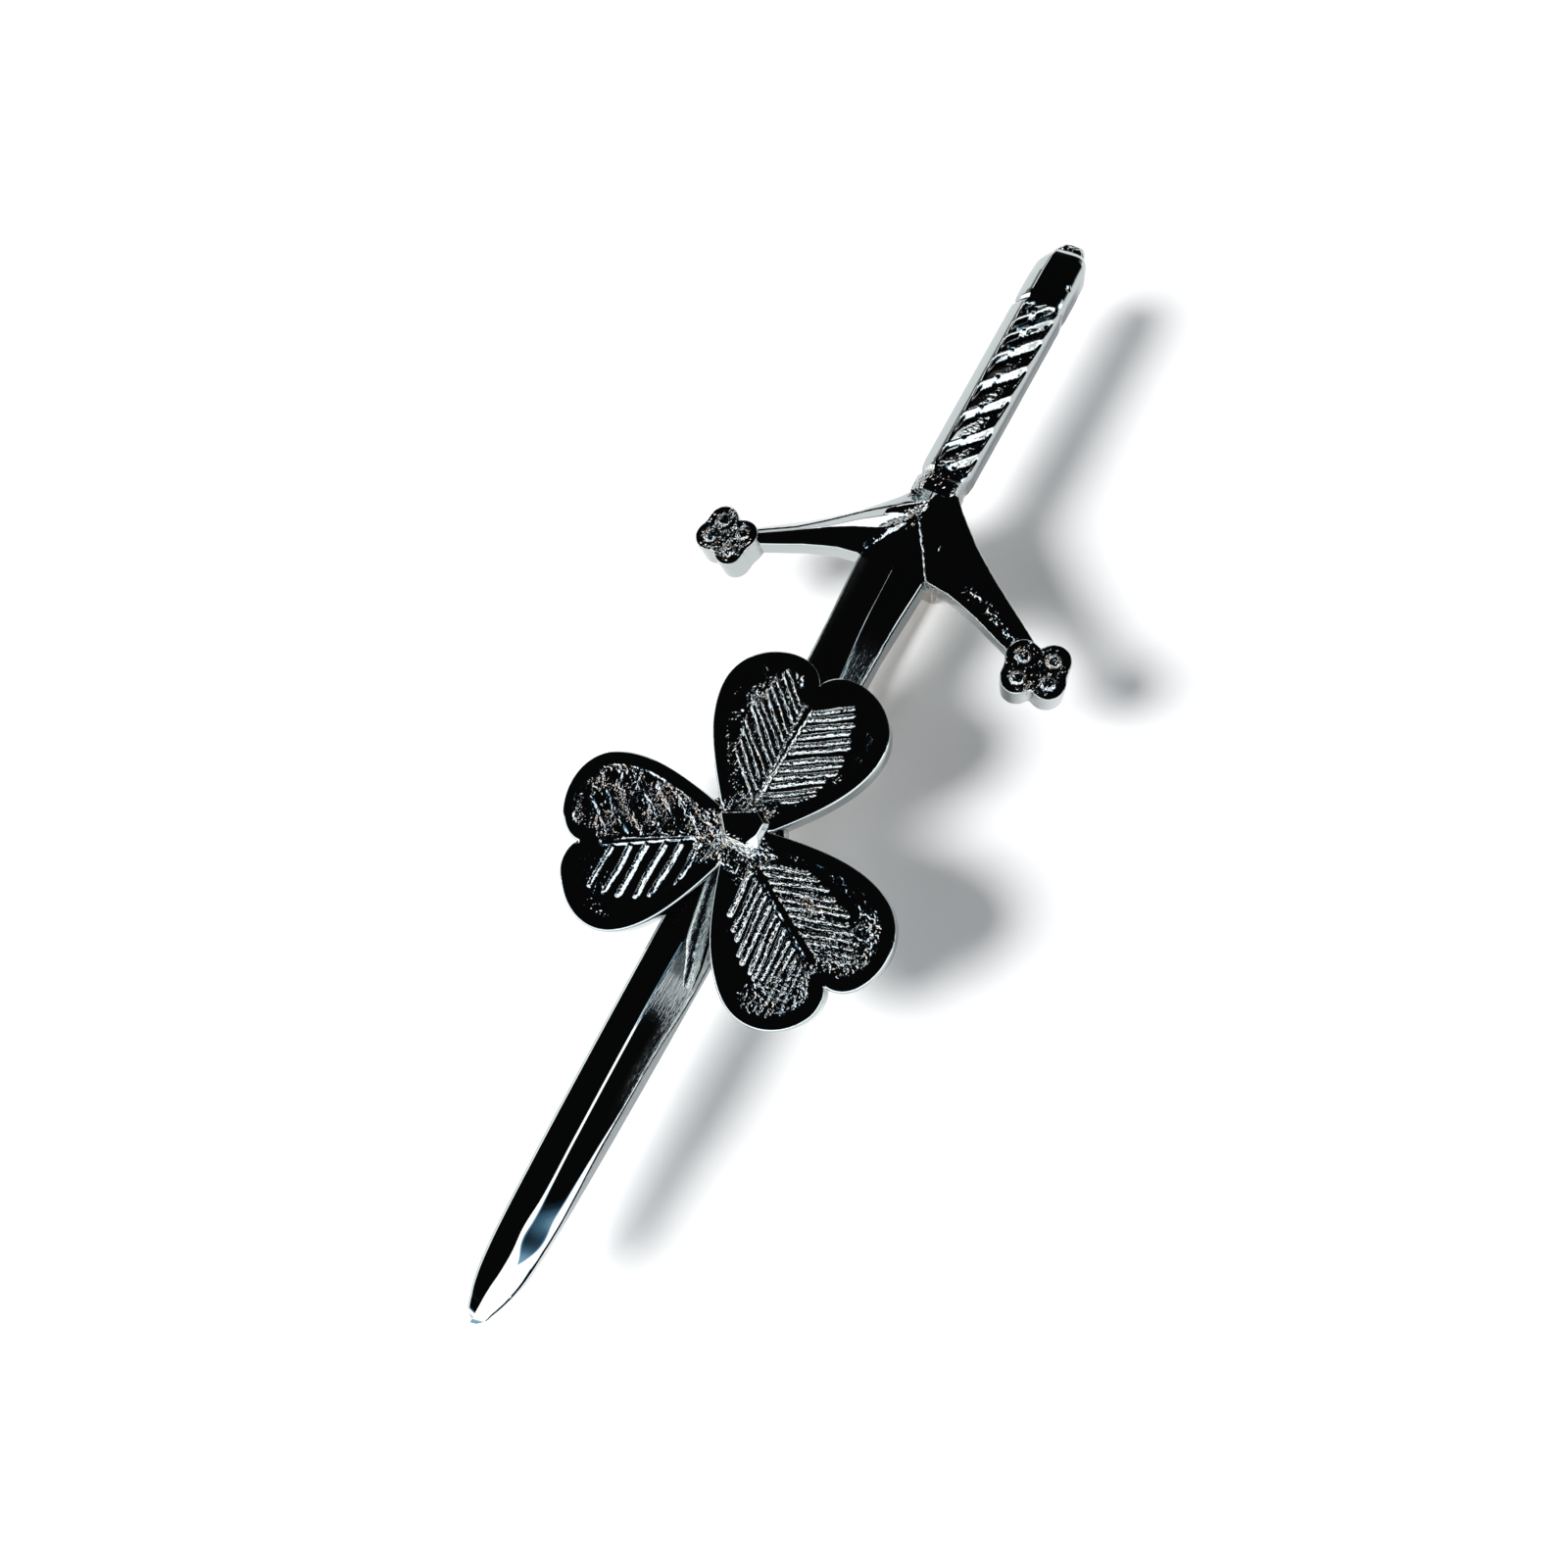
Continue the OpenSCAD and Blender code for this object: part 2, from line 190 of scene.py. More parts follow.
def bumps(x, y, size, seed):
    """Smooth noise, mostly between -1 and 1, with lumps of a size, from a sum of turned waves."""
    waves, spread = 14, 3.2
    rng = np.random.default_rng(seed)
    total = np.zeros_like(x)
    for _ in range(waves):
        turn, phase = rng.uniform(0, 2 * math.pi, 2)
        k = 2 * math.pi / size * rng.uniform(0.6, 1.5)
        total += np.sin(k * (x * math.cos(turn) + y * math.sin(turn)) + phase)
    return total / spread


# Mesh helpers

# Amounts kept at each vertex: cast grain, brush marks, and copper showing through thin plate
LAYERS = ("grain", "brushed", "warm")
# Vertices closer together than this are one, and edges sharper than this aren't shaded smooth
SAME_PLACE = 1e-5
SHARP_ANGLE = math.radians(40)


def add_shell(bm, across, along, place, **amounts):
    """A closed shell: a grid of faces bent by place(i, j), which takes whole steps across and
    along, with its seam merged, its open ends filled and its faces turned outwards."""
    verts = bmesh.ops.create_grid(bm, x_segments=across, y_segments=along, size=0.5)["verts"]
    steps = np.array([v.co[:2] for v in verts]) + 0.5
    x, y, z = place(*np.rint(steps * (across, along)).astype(int).T)
    for name, amount in amounts.items():
        layer = bm.verts.layers.float[name]
        for v, value in zip(verts, amount(x, y, z)):
            v[layer] = value
    for v, co in zip(verts, np.stack([x, y, z], 1)):
        v.co = co
    bmesh.ops.remove_doubles(bm, verts=verts, dist=SAME_PLACE)
    verts = [v for v in verts if v.is_valid]
    edges = {e for v in verts for e in v.link_edges if e.is_boundary}
    bmesh.ops.holes_fill(bm, edges=list(edges), sides=0)
    faces = {f for v in verts for f in v.link_faces}
    bmesh.ops.recalc_face_normals(bm, faces=list(faces))


def with_walls(i, across, low, high, side, z, foot):
    """Takes the outer columns of a grid down to a foot and closes it behind, from low to high."""
    side = np.where((i == 0) | (i == across + 3), low, np.where(i == across + 2, high, side))
    return side, np.where((i == 0) | (i >= across + 2), foot, z)


def polar(i, j, around, rings, reach):
    """Distance from the middle and place of a grid's step on a disc of a reach."""
    angle, r = 2 * math.pi * i / around, reach * np.clip(j, 0, rings) / rings
    return r, r * np.cos(angle), r * np.sin(angle)


def new_bmesh():
    bm = bmesh.new()
    for layer in LAYERS:
        bm.verts.layers.float.new(layer)
    return bm


def free_to_mesh(bm, name):
    mesh = bpy.data.meshes.new(name)
    bm.to_mesh(mesh)
    bm.free()
    return mesh


def add_object(name, data):
    thing = bpy.data.objects.new(name, data)
    bpy.context.scene.collection.objects.link(thing)
    return thing


def finish_piece(bm, name, material, node):
    """Moves a mesh from millimetres into the frame and makes it a piece that stands for a node."""
    bmesh.ops.translate(bm, verts=bm.verts, vec=(0, TIP_Y, BACK_Z))
    bmesh.ops.scale(bm, verts=bm.verts, vec=(MM, MM, MM))
    mesh = free_to_mesh(bm, name)
    mesh.shade_smooth()
    mesh.set_sharp_from_angle(angle=SHARP_ANGLE)
    mesh.materials.append(material)
    piece = add_object(name, mesh)
    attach(piece, "root")
    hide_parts(node)


# Materials

# Marks in the plate: ripple of the polishing wheel, cast grain, patches of thin plate, and brush
# marks (across, along, deep), which are coarser than the real belt's so that they show
RIPPLE_SIZE = 3.2
GRAIN_SIZE = 0.34
PATCH_SIZE = 0.5
MARK_SIZE = (0.07, 0.9, 0.5)
MARK_DEPTH = 0.055
MARK_TURN = math.radians(-13)
# What brush marks and grain add to the roughness
MARK_ROUGHNESS = 0.5
GRAIN_ROUGHNESS = 0.02
# Thin plate has a bluish and a brownish cast, and copper shows where it is thinnest
BLUISH, BROWNISH, COPPER = "#abb4bc", "#bfb5ab", "#c88a5a"


def hex_linear(text):
    """An sRGB colour such as "#c8c8c8" as linear RGBA."""
    parts = [int(text[i : i + 2], 16) / 255 for i in (1, 3, 5)]
    return [c / 12.92 if c <= 0.04045 else ((c + 0.055) / 1.055) ** 2.4 for c in parts] + [1]


def colour_hex(colour):
    return "#" + "".join(f"{round(c * 255):02x}" for c in colour)


def add_node(tree, kind, settings=None, links=None):
    """Adds a node. Settings go to its properties or inputs, links join its inputs to outputs or to
    the first outputs of nodes."""
    node = tree.nodes.new("ShaderNode" + kind)
    for key, value in (settings or {}).items():
        if isinstance(key, str) and hasattr(node, key):
            setattr(node, key, value)
        else:
            node.inputs[key].default_value = value
    for key, source in (links or {}).items():
        output = source.outputs[0] if isinstance(source, bpy.types.Node) else source
        tree.links.new(output, node.inputs[key])
    return node


def add_noise(tree, where, size, detail):
    """Noise with lumps of a size in millimetres."""
    settings = {"Scale": 1 / (size * MM), "Detail": detail}
    return add_node(tree, "TexNoise", settings, {"Vector": where})


def add_bump(tree, height, depth, **under):
    """A bump of a depth in millimetres, over another where one is given as Normal."""
    settings = {"Strength": 1, "Distance": depth * MM}
    return add_node(tree, "Bump", settings, {"Height": height, **under})


def add_ramp(tree, factor, stops):
    """A colour ramp through (place, colour) stops."""
    ramp = add_node(tree, "ValToRGB", {}, {"Fac": factor})
    for _ in stops[2:]:
        ramp.color_ramp.elements.new(0.5)
    for stop, (place, colour) in zip(ramp.color_ramp.elements, stops):
        stop.position, stop.color = place, hex_linear(colour)
    return ramp


def add_mix(tree, factor, a, b):
    """Goes from a to b, each a colour or a node."""
    settings, links = {"data_type": "RGBA"}, {"Factor": factor}
    for key, side in (("A", a), ("B", b)):
        if isinstance(side, str):
            settings[key] = hex_linear(side)
        else:
            links[key] = side
    return add_node(tree, "Mix", settings, links).outputs["Result"]


def empty_tree(owner):
    owner.use_nodes = True
    owner.node_tree.nodes.clear()
    return owner.node_tree


def plated_metal(name, colour, roughness, grain_depth, ripple_depth):
    """Bright plate over a casting: mirror-smooth with a faint ripple from the polishing wheel,
    sharp grain where the mould left it, and brush marks where the grinding belt came last."""
    mat = bpy.data.materials.new(name)
    tree = empty_tree(mat)
    where = add_node(tree, "TexCoord").outputs["Object"]
    layers = [add_node(tree, "Attribute", {"attribute_name": layer}) for layer in LAYERS]
    grain, brushed, warm = (layer.outputs["Fac"] for layer in layers)

    along_belt = {"Rotation": (0, 0, MARK_TURN), "Scale": [1 / s for s in MARK_SIZE]}
    strokes = add_noise(tree, add_node(tree, "Mapping", along_belt, {"Vector": where}), 1, 2)
    marks = add_node(tree, "Math", {"operation": "MULTIPLY"}, {0: strokes, 1: brushed})
    sand = add_noise(tree, where, GRAIN_SIZE, 1)
    pits = add_node(tree, "Math", {"operation": "MULTIPLY"}, {0: sand, 1: grain})
    rippled = add_bump(tree, add_noise(tree, where, RIPPLE_SIZE, 1), ripple_depth)
    scored = add_bump(tree, marks, MARK_DEPTH, Normal=rippled)
    grainy = add_bump(tree, pits, grain_depth, Normal=scored)

    plate, patches = colour_hex(colour), add_noise(tree, where, PATCH_SIZE, 2)
    thin = add_ramp(tree, patches, [(0.38, BLUISH), (0.5, plate), (0.62, BROWNISH)])
    worn = add_mix(tree, warm, add_mix(tree, grain, plate, thin), COPPER)

    limits = {"To Min": roughness, "To Max": roughness + GRAIN_ROUGHNESS}
    dull = add_node(tree, "MapRange", limits, {"Value": grain})
    # the belt's marks scatter the light and look satin
    scatter = {"operation": "MULTIPLY_ADD", 1: MARK_ROUGHNESS}
    satin = add_node(tree, "Math", scatter, {0: marks, 2: dull})
    surface = {"Base Color": worn, "Roughness": satin, "Normal": grainy}
    shader = add_node(tree, "BsdfPrincipled", {"Metallic": 1}, surface)
    add_node(tree, "OutputMaterial", {}, {"Surface": shader})
    return mat


def white_paper(colour):
    """Matte paper sweep."""
    mat = bpy.data.materials.new("white_paper")
    tree = empty_tree(mat)
    matte = {"Base Color": hex_linear(colour_hex(colour)), "Roughness": 0.85}
    add_node(tree, "OutputMaterial", {}, {"Surface": add_node(tree, "BsdfPrincipled", matte)})
    return mat


# Sword

# By distance from the point, as shares of the sword's sizes: half width of the blade and height of
# its ridge
BLADE_HALF = {
    0: 0.14, 0.25: 0.26, 0.9: 0.37, 1.9: 0.51, 3.2: 0.63, 5.4: 0.73, 8.3: 0.79, 11.9: 0.83, 31: 0.94,
    59.8: 1, 65.5: 1.12, 71: 1.12,
}
RIDGE_RISE = {0: 0.78, 0.4: 0.9, 1.5: 0.96, 4: 0.99, 8: 1, 74: 1}
# How far the ridge wanders to the right of the middle
RIDGE_PLACE = {
    0: -0.05, 2.9: 0.02, 4.2: 0.15, 6.1: 0.18, 7.5: 0.04, 10.3: 0.18, 15: 0.1, 30: 0, 52: 0.9, 56: 0.75,
    60: 0.38, 64: 0.25, 73: 0,
}
# The right face by distance from the point: width of the steep strip beside the ridge, slope of
# the face beyond it, and width of the steep band along the edge
STRIP_WIDTH = {
    0: 0.8, 5.2: 0.65, 6.6: 0.33, 8.3: 0.33, 10.6: 0.22, 16: 0.17, 22: 0.17, 52: 0.17, 56.5: 0.17,
    61.5: 0.02, 66: 0.02,
}
FACE_SLOPE = {
    0: 0.72, 4: 0.71, 5.2: 0.69, 7: 0.66, 9: 0.6, 11: 0.45, 14: 0.13, 20: 0.13, 24: 0.2, 27.5: 0.58,
    31: 0.58, 36: 0.13, 45: 0.13, 50: 0.4, 57: 0.4, 61: 0.13, 66: 0.13, 74: 0.13,
}
BAND_WIDTH = {
    0: 2, 4.4: 1.5, 5.2: 0.95, 6: 0.6, 9.4: 0.5, 11.4: 0.45, 15: 0.3, 18: 0.2, 24: 0.2, 74: 0.2,
}

# Edges and folds of the guard by distance from the middle. The left arm has facets between its
# crest and its upper edge, the right arm has its crest close to the upper edge.
UPPER_EDGE = {
    0: 73.4, 2.2: 72.9, 2.6: 72.4, 3: 71.95, 4: 71, 5.3: 69.8, 6.4: 68.95, 8: 67.8, 10: 66.45,
    11.7: 65.3, 13: 64.4,
}
LOWER_FOLD = {
    0: 70.2, 1.6: 67.95, 3.1: 65.55, 4: 65.45, 5: 65.35, 6.3: 65, 7.9: 64.5, 9.6: 63.8, 11.2: 63.15,
    13: 62.4,
}
LEFT_SHOULDER = {0: 72.2, 0.54: 71.9, 1.8: 71.2, 4: 69.6, 7.2: 66.95, 9.1: 65.5, 11.5: 64.25, 13: 63.4}
LEFT_FACET = {0: 70.7, 1: 70.2, 2: 69.75, 4.25: 68.3, 6.2: 66.85, 9.1: 65.25, 13: 63.25}
LEFT_CREST = {0: 69.2, 1.8: 68.4, 2.7: 67.9, 4.6: 67.3, 6.3: 66.6, 9.1: 65.2, 13: 63.2}
CREST_HEIGHT = {0: 2.45, 2.4: 2.42, 4: 2.32, 5.8: 2.18, 8: 2.02, 10: 1.96, 13: 1.96}
FOLD_HEIGHT = {0: 2.3, 1.6: 2.1, 3.1: 1.9, 5: 1.8, 7.4: 1.62, 9.7: 1.55, 13: 1.55}

# Knot, grip, pommel and button: place, half width and height of the front
HILT_STATIONS = [
    (71, 1.7, 0.3), (72.2, 1.8, 0.35), (72.35, 2, 2.5), (72.8, 2.05, 2.62), (73.7, 2.05, 2.62),
    (74.05, 1.98, 2.35), (74.25, 1.98, 2.3), (74.6, 2.1, 2.58), (75.2, 2.18, 2.62), (90.4, 2.2, 2.62),
    (90.75, 2.15, 2.45), (90.95, 2.12, 2.36), (91.2, 2.17, 2.58), (91.6, 2.2, 2.63), (93.5, 2.2, 2.62),
    (95, 2.12, 2.5), (95.6, 1.98, 2.3), (96, 1.7, 2.02), (96.2, 1.42, 1.85), (96.5, 1.4, 1.86),
    (96.95, 1.25, 1.68), (97.25, 0.9, 1.35), (97.4, 0.5, 1),
]
# Where the bright flanks of the strands cross the hilt, closer together at its ends
STRAND_PLACES = [73, 75.6, 78.1, 81.1, 84, 86.65, 88.6, 90.2, 92]
# A small pit in the pommel
PIT = (1.75, 92.6)

# Blade: slope of the left face, width and slope of its bevel, width of the right edge's lip, and
# width that the ridge step is measured over
LEFT_FALL = 0.1
BEVEL, BEVEL_FALL = 0.22, 0.65
LIP = 0.09
STEP_RUN = 0.155
# Slopes of the left arm from crest to facet, from facet to shoulder, and beyond
ARM_FALLS = (0.29, 0.58, 0.95)
# Middle of the right quatrefoil, distances between its lobes, and its turn
QUATREFOIL_PLACE = (13.89, 62.4)
LOBE_PITCH = Vector((2.25, 1.75))
QUATREFOIL_TURN = math.radians(13)
# Hilt: share of its half width that is level on the left, and how fast the rest folds down
LEVEL_SHARE = 0.386
SIDE_FALLS = (0.577, 0.307)
# Share of the strands' pitch on each side of a crossing that is a steep flank
STEEP_SHARE = 0.1


def blade_half(size, y):
    return curve(BLADE_HALF, y) * size.blade_width / MM / 2


def blade_folds(size, y):
    """Half width of the blade, place of its ridge, and widths of its steep strip and band."""
    return [blade_half(size, y)] + [curve(t, y) for t in (RIDGE_PLACE, STRIP_WIDTH, BAND_WIDTH)]


def blade_top(size, x, y):
    """Height of the blade's front: a nearly level left face with a bevel, and a right face with a
    steep strip beside the ridge, and a steep band and a level lip along the edge."""
    half, ridge_x, strip, band = blade_folds(size, y)
    off = x - ridge_x
    ridge = curve(RIDGE_RISE, y) * size.ridge_height / MM
    steep = size.ridge_step / MM / STEP_RUN
    face_end = np.maximum(half - ridge_x - band, strip)
    left = ridge - LEFT_FALL * np.maximum(-off, 0) - BEVEL_FALL * np.clip(BEVEL - half - x, 0, BEVEL)
    face = curve(FACE_SLOPE, y) * np.clip(off - strip, 0, face_end - strip)
    edge = steep * np.clip(off - face_end, 0, half - ridge_x - face_end - LIP)
    return np.where(off < 0, left, ridge - steep * np.clip(off, 0, strip) - face - edge)


def add_blade(bm, size):
    # rows of the grid, closer together at the point
    fine, along, point_end, foot = 90, 330, 6, 66.5
    point_rows = point_end * np.linspace(0, 1, fine, endpoint=False) ** 1.5
    places = np.append(point_rows, np.linspace(point_end, foot, along + 1 - fine))
    # columns of the grid from one fold of the blade to the next
    folds = np.array([0, 6, 20, 25, 36, 44])
    across = folds[-1]

    def place(i, j):
        y = places[j]
        half, ridge_x, strip, band = blade_folds(size, y)
        strip_end = np.minimum(ridge_x + strip, half * 0.9)
        face_end = np.maximum(half - band, strip_end)
        bevel_end = np.minimum(0.25 - half, ridge_x - 0.02)
        stops = np.stack([-half, bevel_end, ridge_x, strip_end, face_end, half])
        k = np.clip(i - 1, 0, across)
        part = np.clip(np.searchsorted(folds, k, side="right") - 1, 0, len(folds) - 2)
        t = (k - folds[part]) / (folds[part + 1] - folds[part])
        row = np.arange(len(k))
        x = stops[part, row] * (1 - t) + stops[part + 1, row] * t
        # the blade dips under the guard
        z = np.maximum(blade_top(size, x, y), 0.4) - 0.35 * ease(y, 65.5, 65.9)
        x, z = with_walls(i, across, -half, half, x, z, 0)
        return x, y, z

    def brushed(x, y, z):
        off = x - curve(RIDGE_PLACE, y)
        below_stem = soft_band(y, 23, 29, 31, 34) * ease(off, 0, 0.25)
        right_edge = 0.8 * soft_band(y, 15, 22, 31, 34) * ease(x, 1, 1.7)
        forte = 0.6 * soft_band(y, 53, 55, 58, 62) * ease(off, 0, 0.15)
        left_edge = 0.55 * ease(y, 50, 56) * (1 - ease(x, -2.5, -1.5))
        return np.maximum.reduce([below_stem, right_edge, forte, left_edge]) * (z > 0.5)

    add_shell(bm, across + 3, along, place, brushed=brushed)


def left_arm_top(a, y):
    crest, facet, shoulder, upper = (line(t, a) for t in (LEFT_CREST, LEFT_FACET, LEFT_SHOULDER, UPPER_EDGE))
    fold, fold_h, crest_h = line(LOWER_FOLD, a), curve(FOLD_HEIGHT, a), curve(CREST_HEIGHT, a)
    to_facet, to_shoulder, beyond = ARM_FALLS
    lower = crest_h + (fold_h - crest_h) * np.clip((crest - y) / np.maximum(crest - fold, 0.3), 0, 2)
    facet_h = crest_h - to_facet * (facet - crest)
    shoulder_h = facet_h - to_shoulder * (shoulder - facet)
    edge_h = np.maximum(shoulder_h - beyond * (upper - shoulder), 0.35)
    shoulder_in = shoulder + np.minimum(0.22, (upper - shoulder) * 0.3)
    inner = np.where(y < facet, crest_h - to_facet * (y - crest), facet_h - to_shoulder * (y - facet))
    outer = shoulder_h + (edge_h - shoulder_h) * (y - shoulder_in) / (upper - shoulder_in)
    high = np.where(y < shoulder, inner, np.where(y < shoulder_in, shoulder_h, outer))
    # a shallow dent from the grinding wheel in the lower face
    dent = 0.1 * bell(a - 6.4, 1.1) * bell(y - 65.85, 0.3)
    return np.where(y < crest, soft_min(lower, high, 0.03), high) - dent


def right_arm_top(a, y):
    upper, fold = line(UPPER_EDGE, a), line(LOWER_FOLD, a)
    crest = upper - 0.16 * (upper - fold)
    crest_h, fold_h = curve(CREST_HEIGHT, a), curve(FOLD_HEIGHT, a)
    low_side = crest_h + (fold_h - crest_h) * (crest - y) / (crest - fold)
    up_side = crest_h - 0.22 * (y - crest)
    # a hollow runs along the lower half of the arm, and a nick is near its root
    hollow = 0.1 * bell(y - fold - 0.3 * (upper - fold), 0.32) * ease(a, 4.5, 6.5)
    nick = 0.12 * bell(a - 2.66, 0.12) * bell(y - 68.5, 0.22)
    return soft_min(low_side, up_side, 0.06) - hollow - nick


def guard_top(size, x, y):
    """Height of the guard's front. The arms stand above the blade, which runs up between them in a V."""
    a = np.abs(x)
    left, right = left_arm_top(a, y), right_arm_top(a, y)
    # the arms run into each other in the middle
    share = ease(x, -1.2, 0.6)
    arm = np.where(a < 1.3, left * (1 - share) + right * share, np.where(x < 0, left, right))
    # the arms end towards the blade in a narrow step
    step = curve(FOLD_HEIGHT, a) + 0.06 - np.where(x < 0, 0.95, 1.35) * (line(LOWER_FOLD, a) - y)
    arm = np.where(a < 3.1, soft_min(arm, step, 0.05), arm)
    # on the left the blade's face ends at the arm's shoulder
    ended = 2.5 * ease(y - line(LEFT_SHOULDER, a), -0.5, 0.1) * (x < 0)
    blade = blade_top(size, x, np.minimum(y, 73)) - ended
    return np.where(a < blade_half(size, y), soft_max(arm, blade, 0.04), arm)


def add_guard(bm, size):
    across, along, span = 96, 340, 26
    # rows of the grid, somewhat closer together at the edges
    even = np.linspace(0, 1, across + 1)
    shares = 0.5 * even + 0.5 * (0.5 - 0.5 * np.cos(math.pi * even))

    def place(i, j):
        x = span * j / along - span / 2
        a = np.abs(x)
        upper = line(UPPER_EDGE, a)
        lower = np.where(a < 3.1, 65.4 + 0.15 * ease(a, 2.8, 3.1), line(LOWER_FOLD, a))
        y = lower + shares[np.clip(i - 1, 0, across)] * (upper - lower)
        z = guard_top(size, x, y) - edge_drop((upper - y) * 0.85, 0.12)
        z = z - edge_drop((y - lower) * 0.96, 0.15) * ease(a, 2.9, 3.2)
        y, z = with_walls(i, across, lower, upper, y, z, 0.02)
        return x, y, z

    def grain(x, y, z):
        a = np.abs(x)
        fold, upper = line(LOWER_FOLD, a), line(UPPER_EDGE, a)
        right_low = ease(x, 4, 7) * bell((y - fold) / (upper - fold) - 0.35, 0.27)
        left_crease = bell(y - fold - 0.45, 0.75) * (1 - ease(a, 2.7, 3.1)) * (x < 0)
        right_crease = 0.8 * bell(y - fold, 0.3) * (1 - ease(a, 3.2, 3.9)) * (x >= 0)
        apex = 0.9 * bell(x + 0.2, 1) * bell(y - 69.7, 1.2)
        faint = 0.3 * ease(x, 0.5, 1.5)
        return np.maximum.reduce([right_low, left_crease, right_crease, apex, faint]) * (z > 0.6)

    add_shell(bm, across + 3, along, place, grain=grain)


def add_quatrefoil(bm, size, side):
    """Four joined lobes with a low ball on each, on the end of an arm."""
    centre = Vector((side * QUATREFOIL_PLACE[0], QUATREFOIL_PLACE[1]))
    reach, corner = LOBE_PITCH.length / 2, math.atan2(LOBE_PITCH.y, LOBE_PITCH.x)
    lobe, ball = size.lobe_diameter / MM / 2, size.ball_diameter / MM / 2
    height = size.lobe_height / MM
    around, rings = 168, 38
    corners = [corner, math.pi - corner, math.pi + corner, -corner]
    turn = QUATREFOIL_TURN * side

    def outline(angle):
        total = 0
        for c in corners:
            d = angle - c
            beside = np.abs(reach * np.sin(d))
            r = reach * np.cos(d) + np.sqrt(np.maximum(lobe**2 - beside**2, 0))
            total = total + np.where(beside < lobe, np.maximum(r, 0), 0) ** 6
        return np.minimum(total ** (1 / 6), reach + lobe)

    def place(i, j):
        angle = 2 * math.pi * i / around
        edge = outline(angle)
        r = edge * np.sin(np.clip(j, 0, rings) / rings * math.pi / 2) ** 0.85
        u, v = r * np.cos(angle), r * np.sin(angle)
        z = height - edge_drop(edge - r, 0.14) - 0.1 * ease(edge - r, 0.15, 0.8)
        for c in corners:
            d = np.hypot(u - reach * math.cos(c), v - reach * math.sin(c)) / ball
            dome = 0.34 * np.sqrt(np.maximum(1 - d**2, 0)) + 0.03 * bell(d - 1, 0.25)
            z = z + np.where(j <= rings, dome, 0)
        z = np.where(j == rings + 1, 0.5, np.where(j >= rings + 2, 0.06, z))
        return centre.x + r * np.cos(angle + turn), centre.y + r * np.sin(angle + turn), z

    def grain(x, y, z):
        r = np.hypot(x - centre.x, y - centre.y)
        return np.where(z > height - 0.4, 1 - 0.8 * ease(r, 1.9, 2.5), 0)

    add_shell(bm, around, rings + 2, place, grain=grain)


def add_hilt(bm, size):
    """Knot, twisted grip, pommel and button in one skin with a flat back and upright sides."""
    around, along = 96, 330
    # rows of the grid in the knot, the grip and the pommel
    knot, grip, pommel, end = 71, 75.1, 90.7, 97.4
    low_rows = np.append(np.linspace(knot, grip, 60, False), np.linspace(grip, pommel, 190, False))
    places = np.append(low_rows, np.linspace(pommel, end, along + 1 - len(low_rows)))
    widths, heights = ({row[0]: row[k] for row in HILT_STATIONS} for k in (1, 2))
    turns = np.arange(len(STRAND_PLACES))
    # more of the grid's lines go to the front than to the sides
    spread = np.linspace(-1, 1, around + 1)
    angles = math.pi / 2 * (1 - (0.45 * spread + 0.55 * np.sign(spread) * np.abs(spread) ** 2.2))

    def place(i, j):
        y = places[j]
        half, top = line(widths, y), line(heights, y)
        k = np.clip(i, 0, around)
        p, c, s = spread[k], np.cos(angles[k]), np.maximum(np.sin(angles[k]), 0)
        # right of the middle a squarish round, left of it level, then folded down ever steeper
        fold, folded = np.clip((p - 0.5) / 0.5, 0, 1), (1 - LEVEL_SHARE) * half
        left_x = -np.where(p < 0.5, LEVEL_SHARE * half * p / 0.5, half - folded * (1 - fold))
        left_z = top - folded * (SIDE_FALLS[0] * fold + SIDE_FALLS[1] * fold**2)
        x = np.where(p < 0, half * np.abs(c) ** 0.45, left_x)
        bent = x * (1 + 0.22 * (x / half) ** 4)
        crossing = y - (bent - 1.1) / math.tan(size.strand_slope)
        # each strand has a steep flank on its lower side and a gentle one on its upper side
        share = (np.interp(crossing, STRAND_PLACES, turns) + 0.5) % 1 - 0.5
        steep = 0.5 - 0.5 * share / STEEP_SHARE
        gentle = (np.where(share > 0, share, share + 1) - STEEP_SHARE) / (1 - 2 * STEEP_SHARE)
        depth = np.where(np.abs(share) < STEEP_SHARE, steep, gentle) * size.strand_depth / MM
        twist = soft_band(y, 74.3, 74.9, 90.3, 90.8) * soft_band(x, -0.95, -0.6, 1.6, 2.1)
        relief = twist * depth + 0.2 * bell(x - PIT[0], 0.16) * bell(y - PIT[1], 0.16)
        z = np.where(p < 0, (top - relief) * s**0.45, left_z - relief)
        x = np.where(i == around + 1, -half, x)
        return x, y, np.where((i == 0) | (i >= around), 0.04, z)

    def grain(x, y, z):
        on_knot = 0.6 * (1 - ease(y, 74, 75.2))
        twist = 0.2 * soft_band(y, 74.6, 75.4, 90.6, 91.2) * soft_band(x, -0.5, 0.6, 1.7, 2.1)
        button = 0.7 * ease(y, 95.9, 96.3)
        return np.maximum.reduce([on_knot, twist, button]) * (z > 0.1)

    add_shell(bm, around + 1, along, place, grain=grain)


class KILTPIN_OT_sword(bpy.types.Operator):
    """Builds the sword: blade, guard, quatrefoils and hilt in one casting"""

    bl_idname = "kilt_pin.sword"
    bl_label = "Sword"

    def execute(self, context):
        size = context.scene.kilt_pin_sword
        bm = new_bmesh()
        add_blade(bm, size)
        add_guard(bm, size)
        add_quatrefoil(bm, size, -1)
        add_quatrefoil(bm, size, 1)
        add_hilt(bm, size)
        colours = context.scene.kilt_pin_colours
        # chrome over a zinc casting gives a cold mirror with grain in its low places
        chrome = plated_metal("bright_chrome_plate", colours.chrome, 0.05, 0.22, 0.02)
        finish_piece(bm, "claymore", chrome, "sword")
        return {"FINISHED"}


# Shamrock


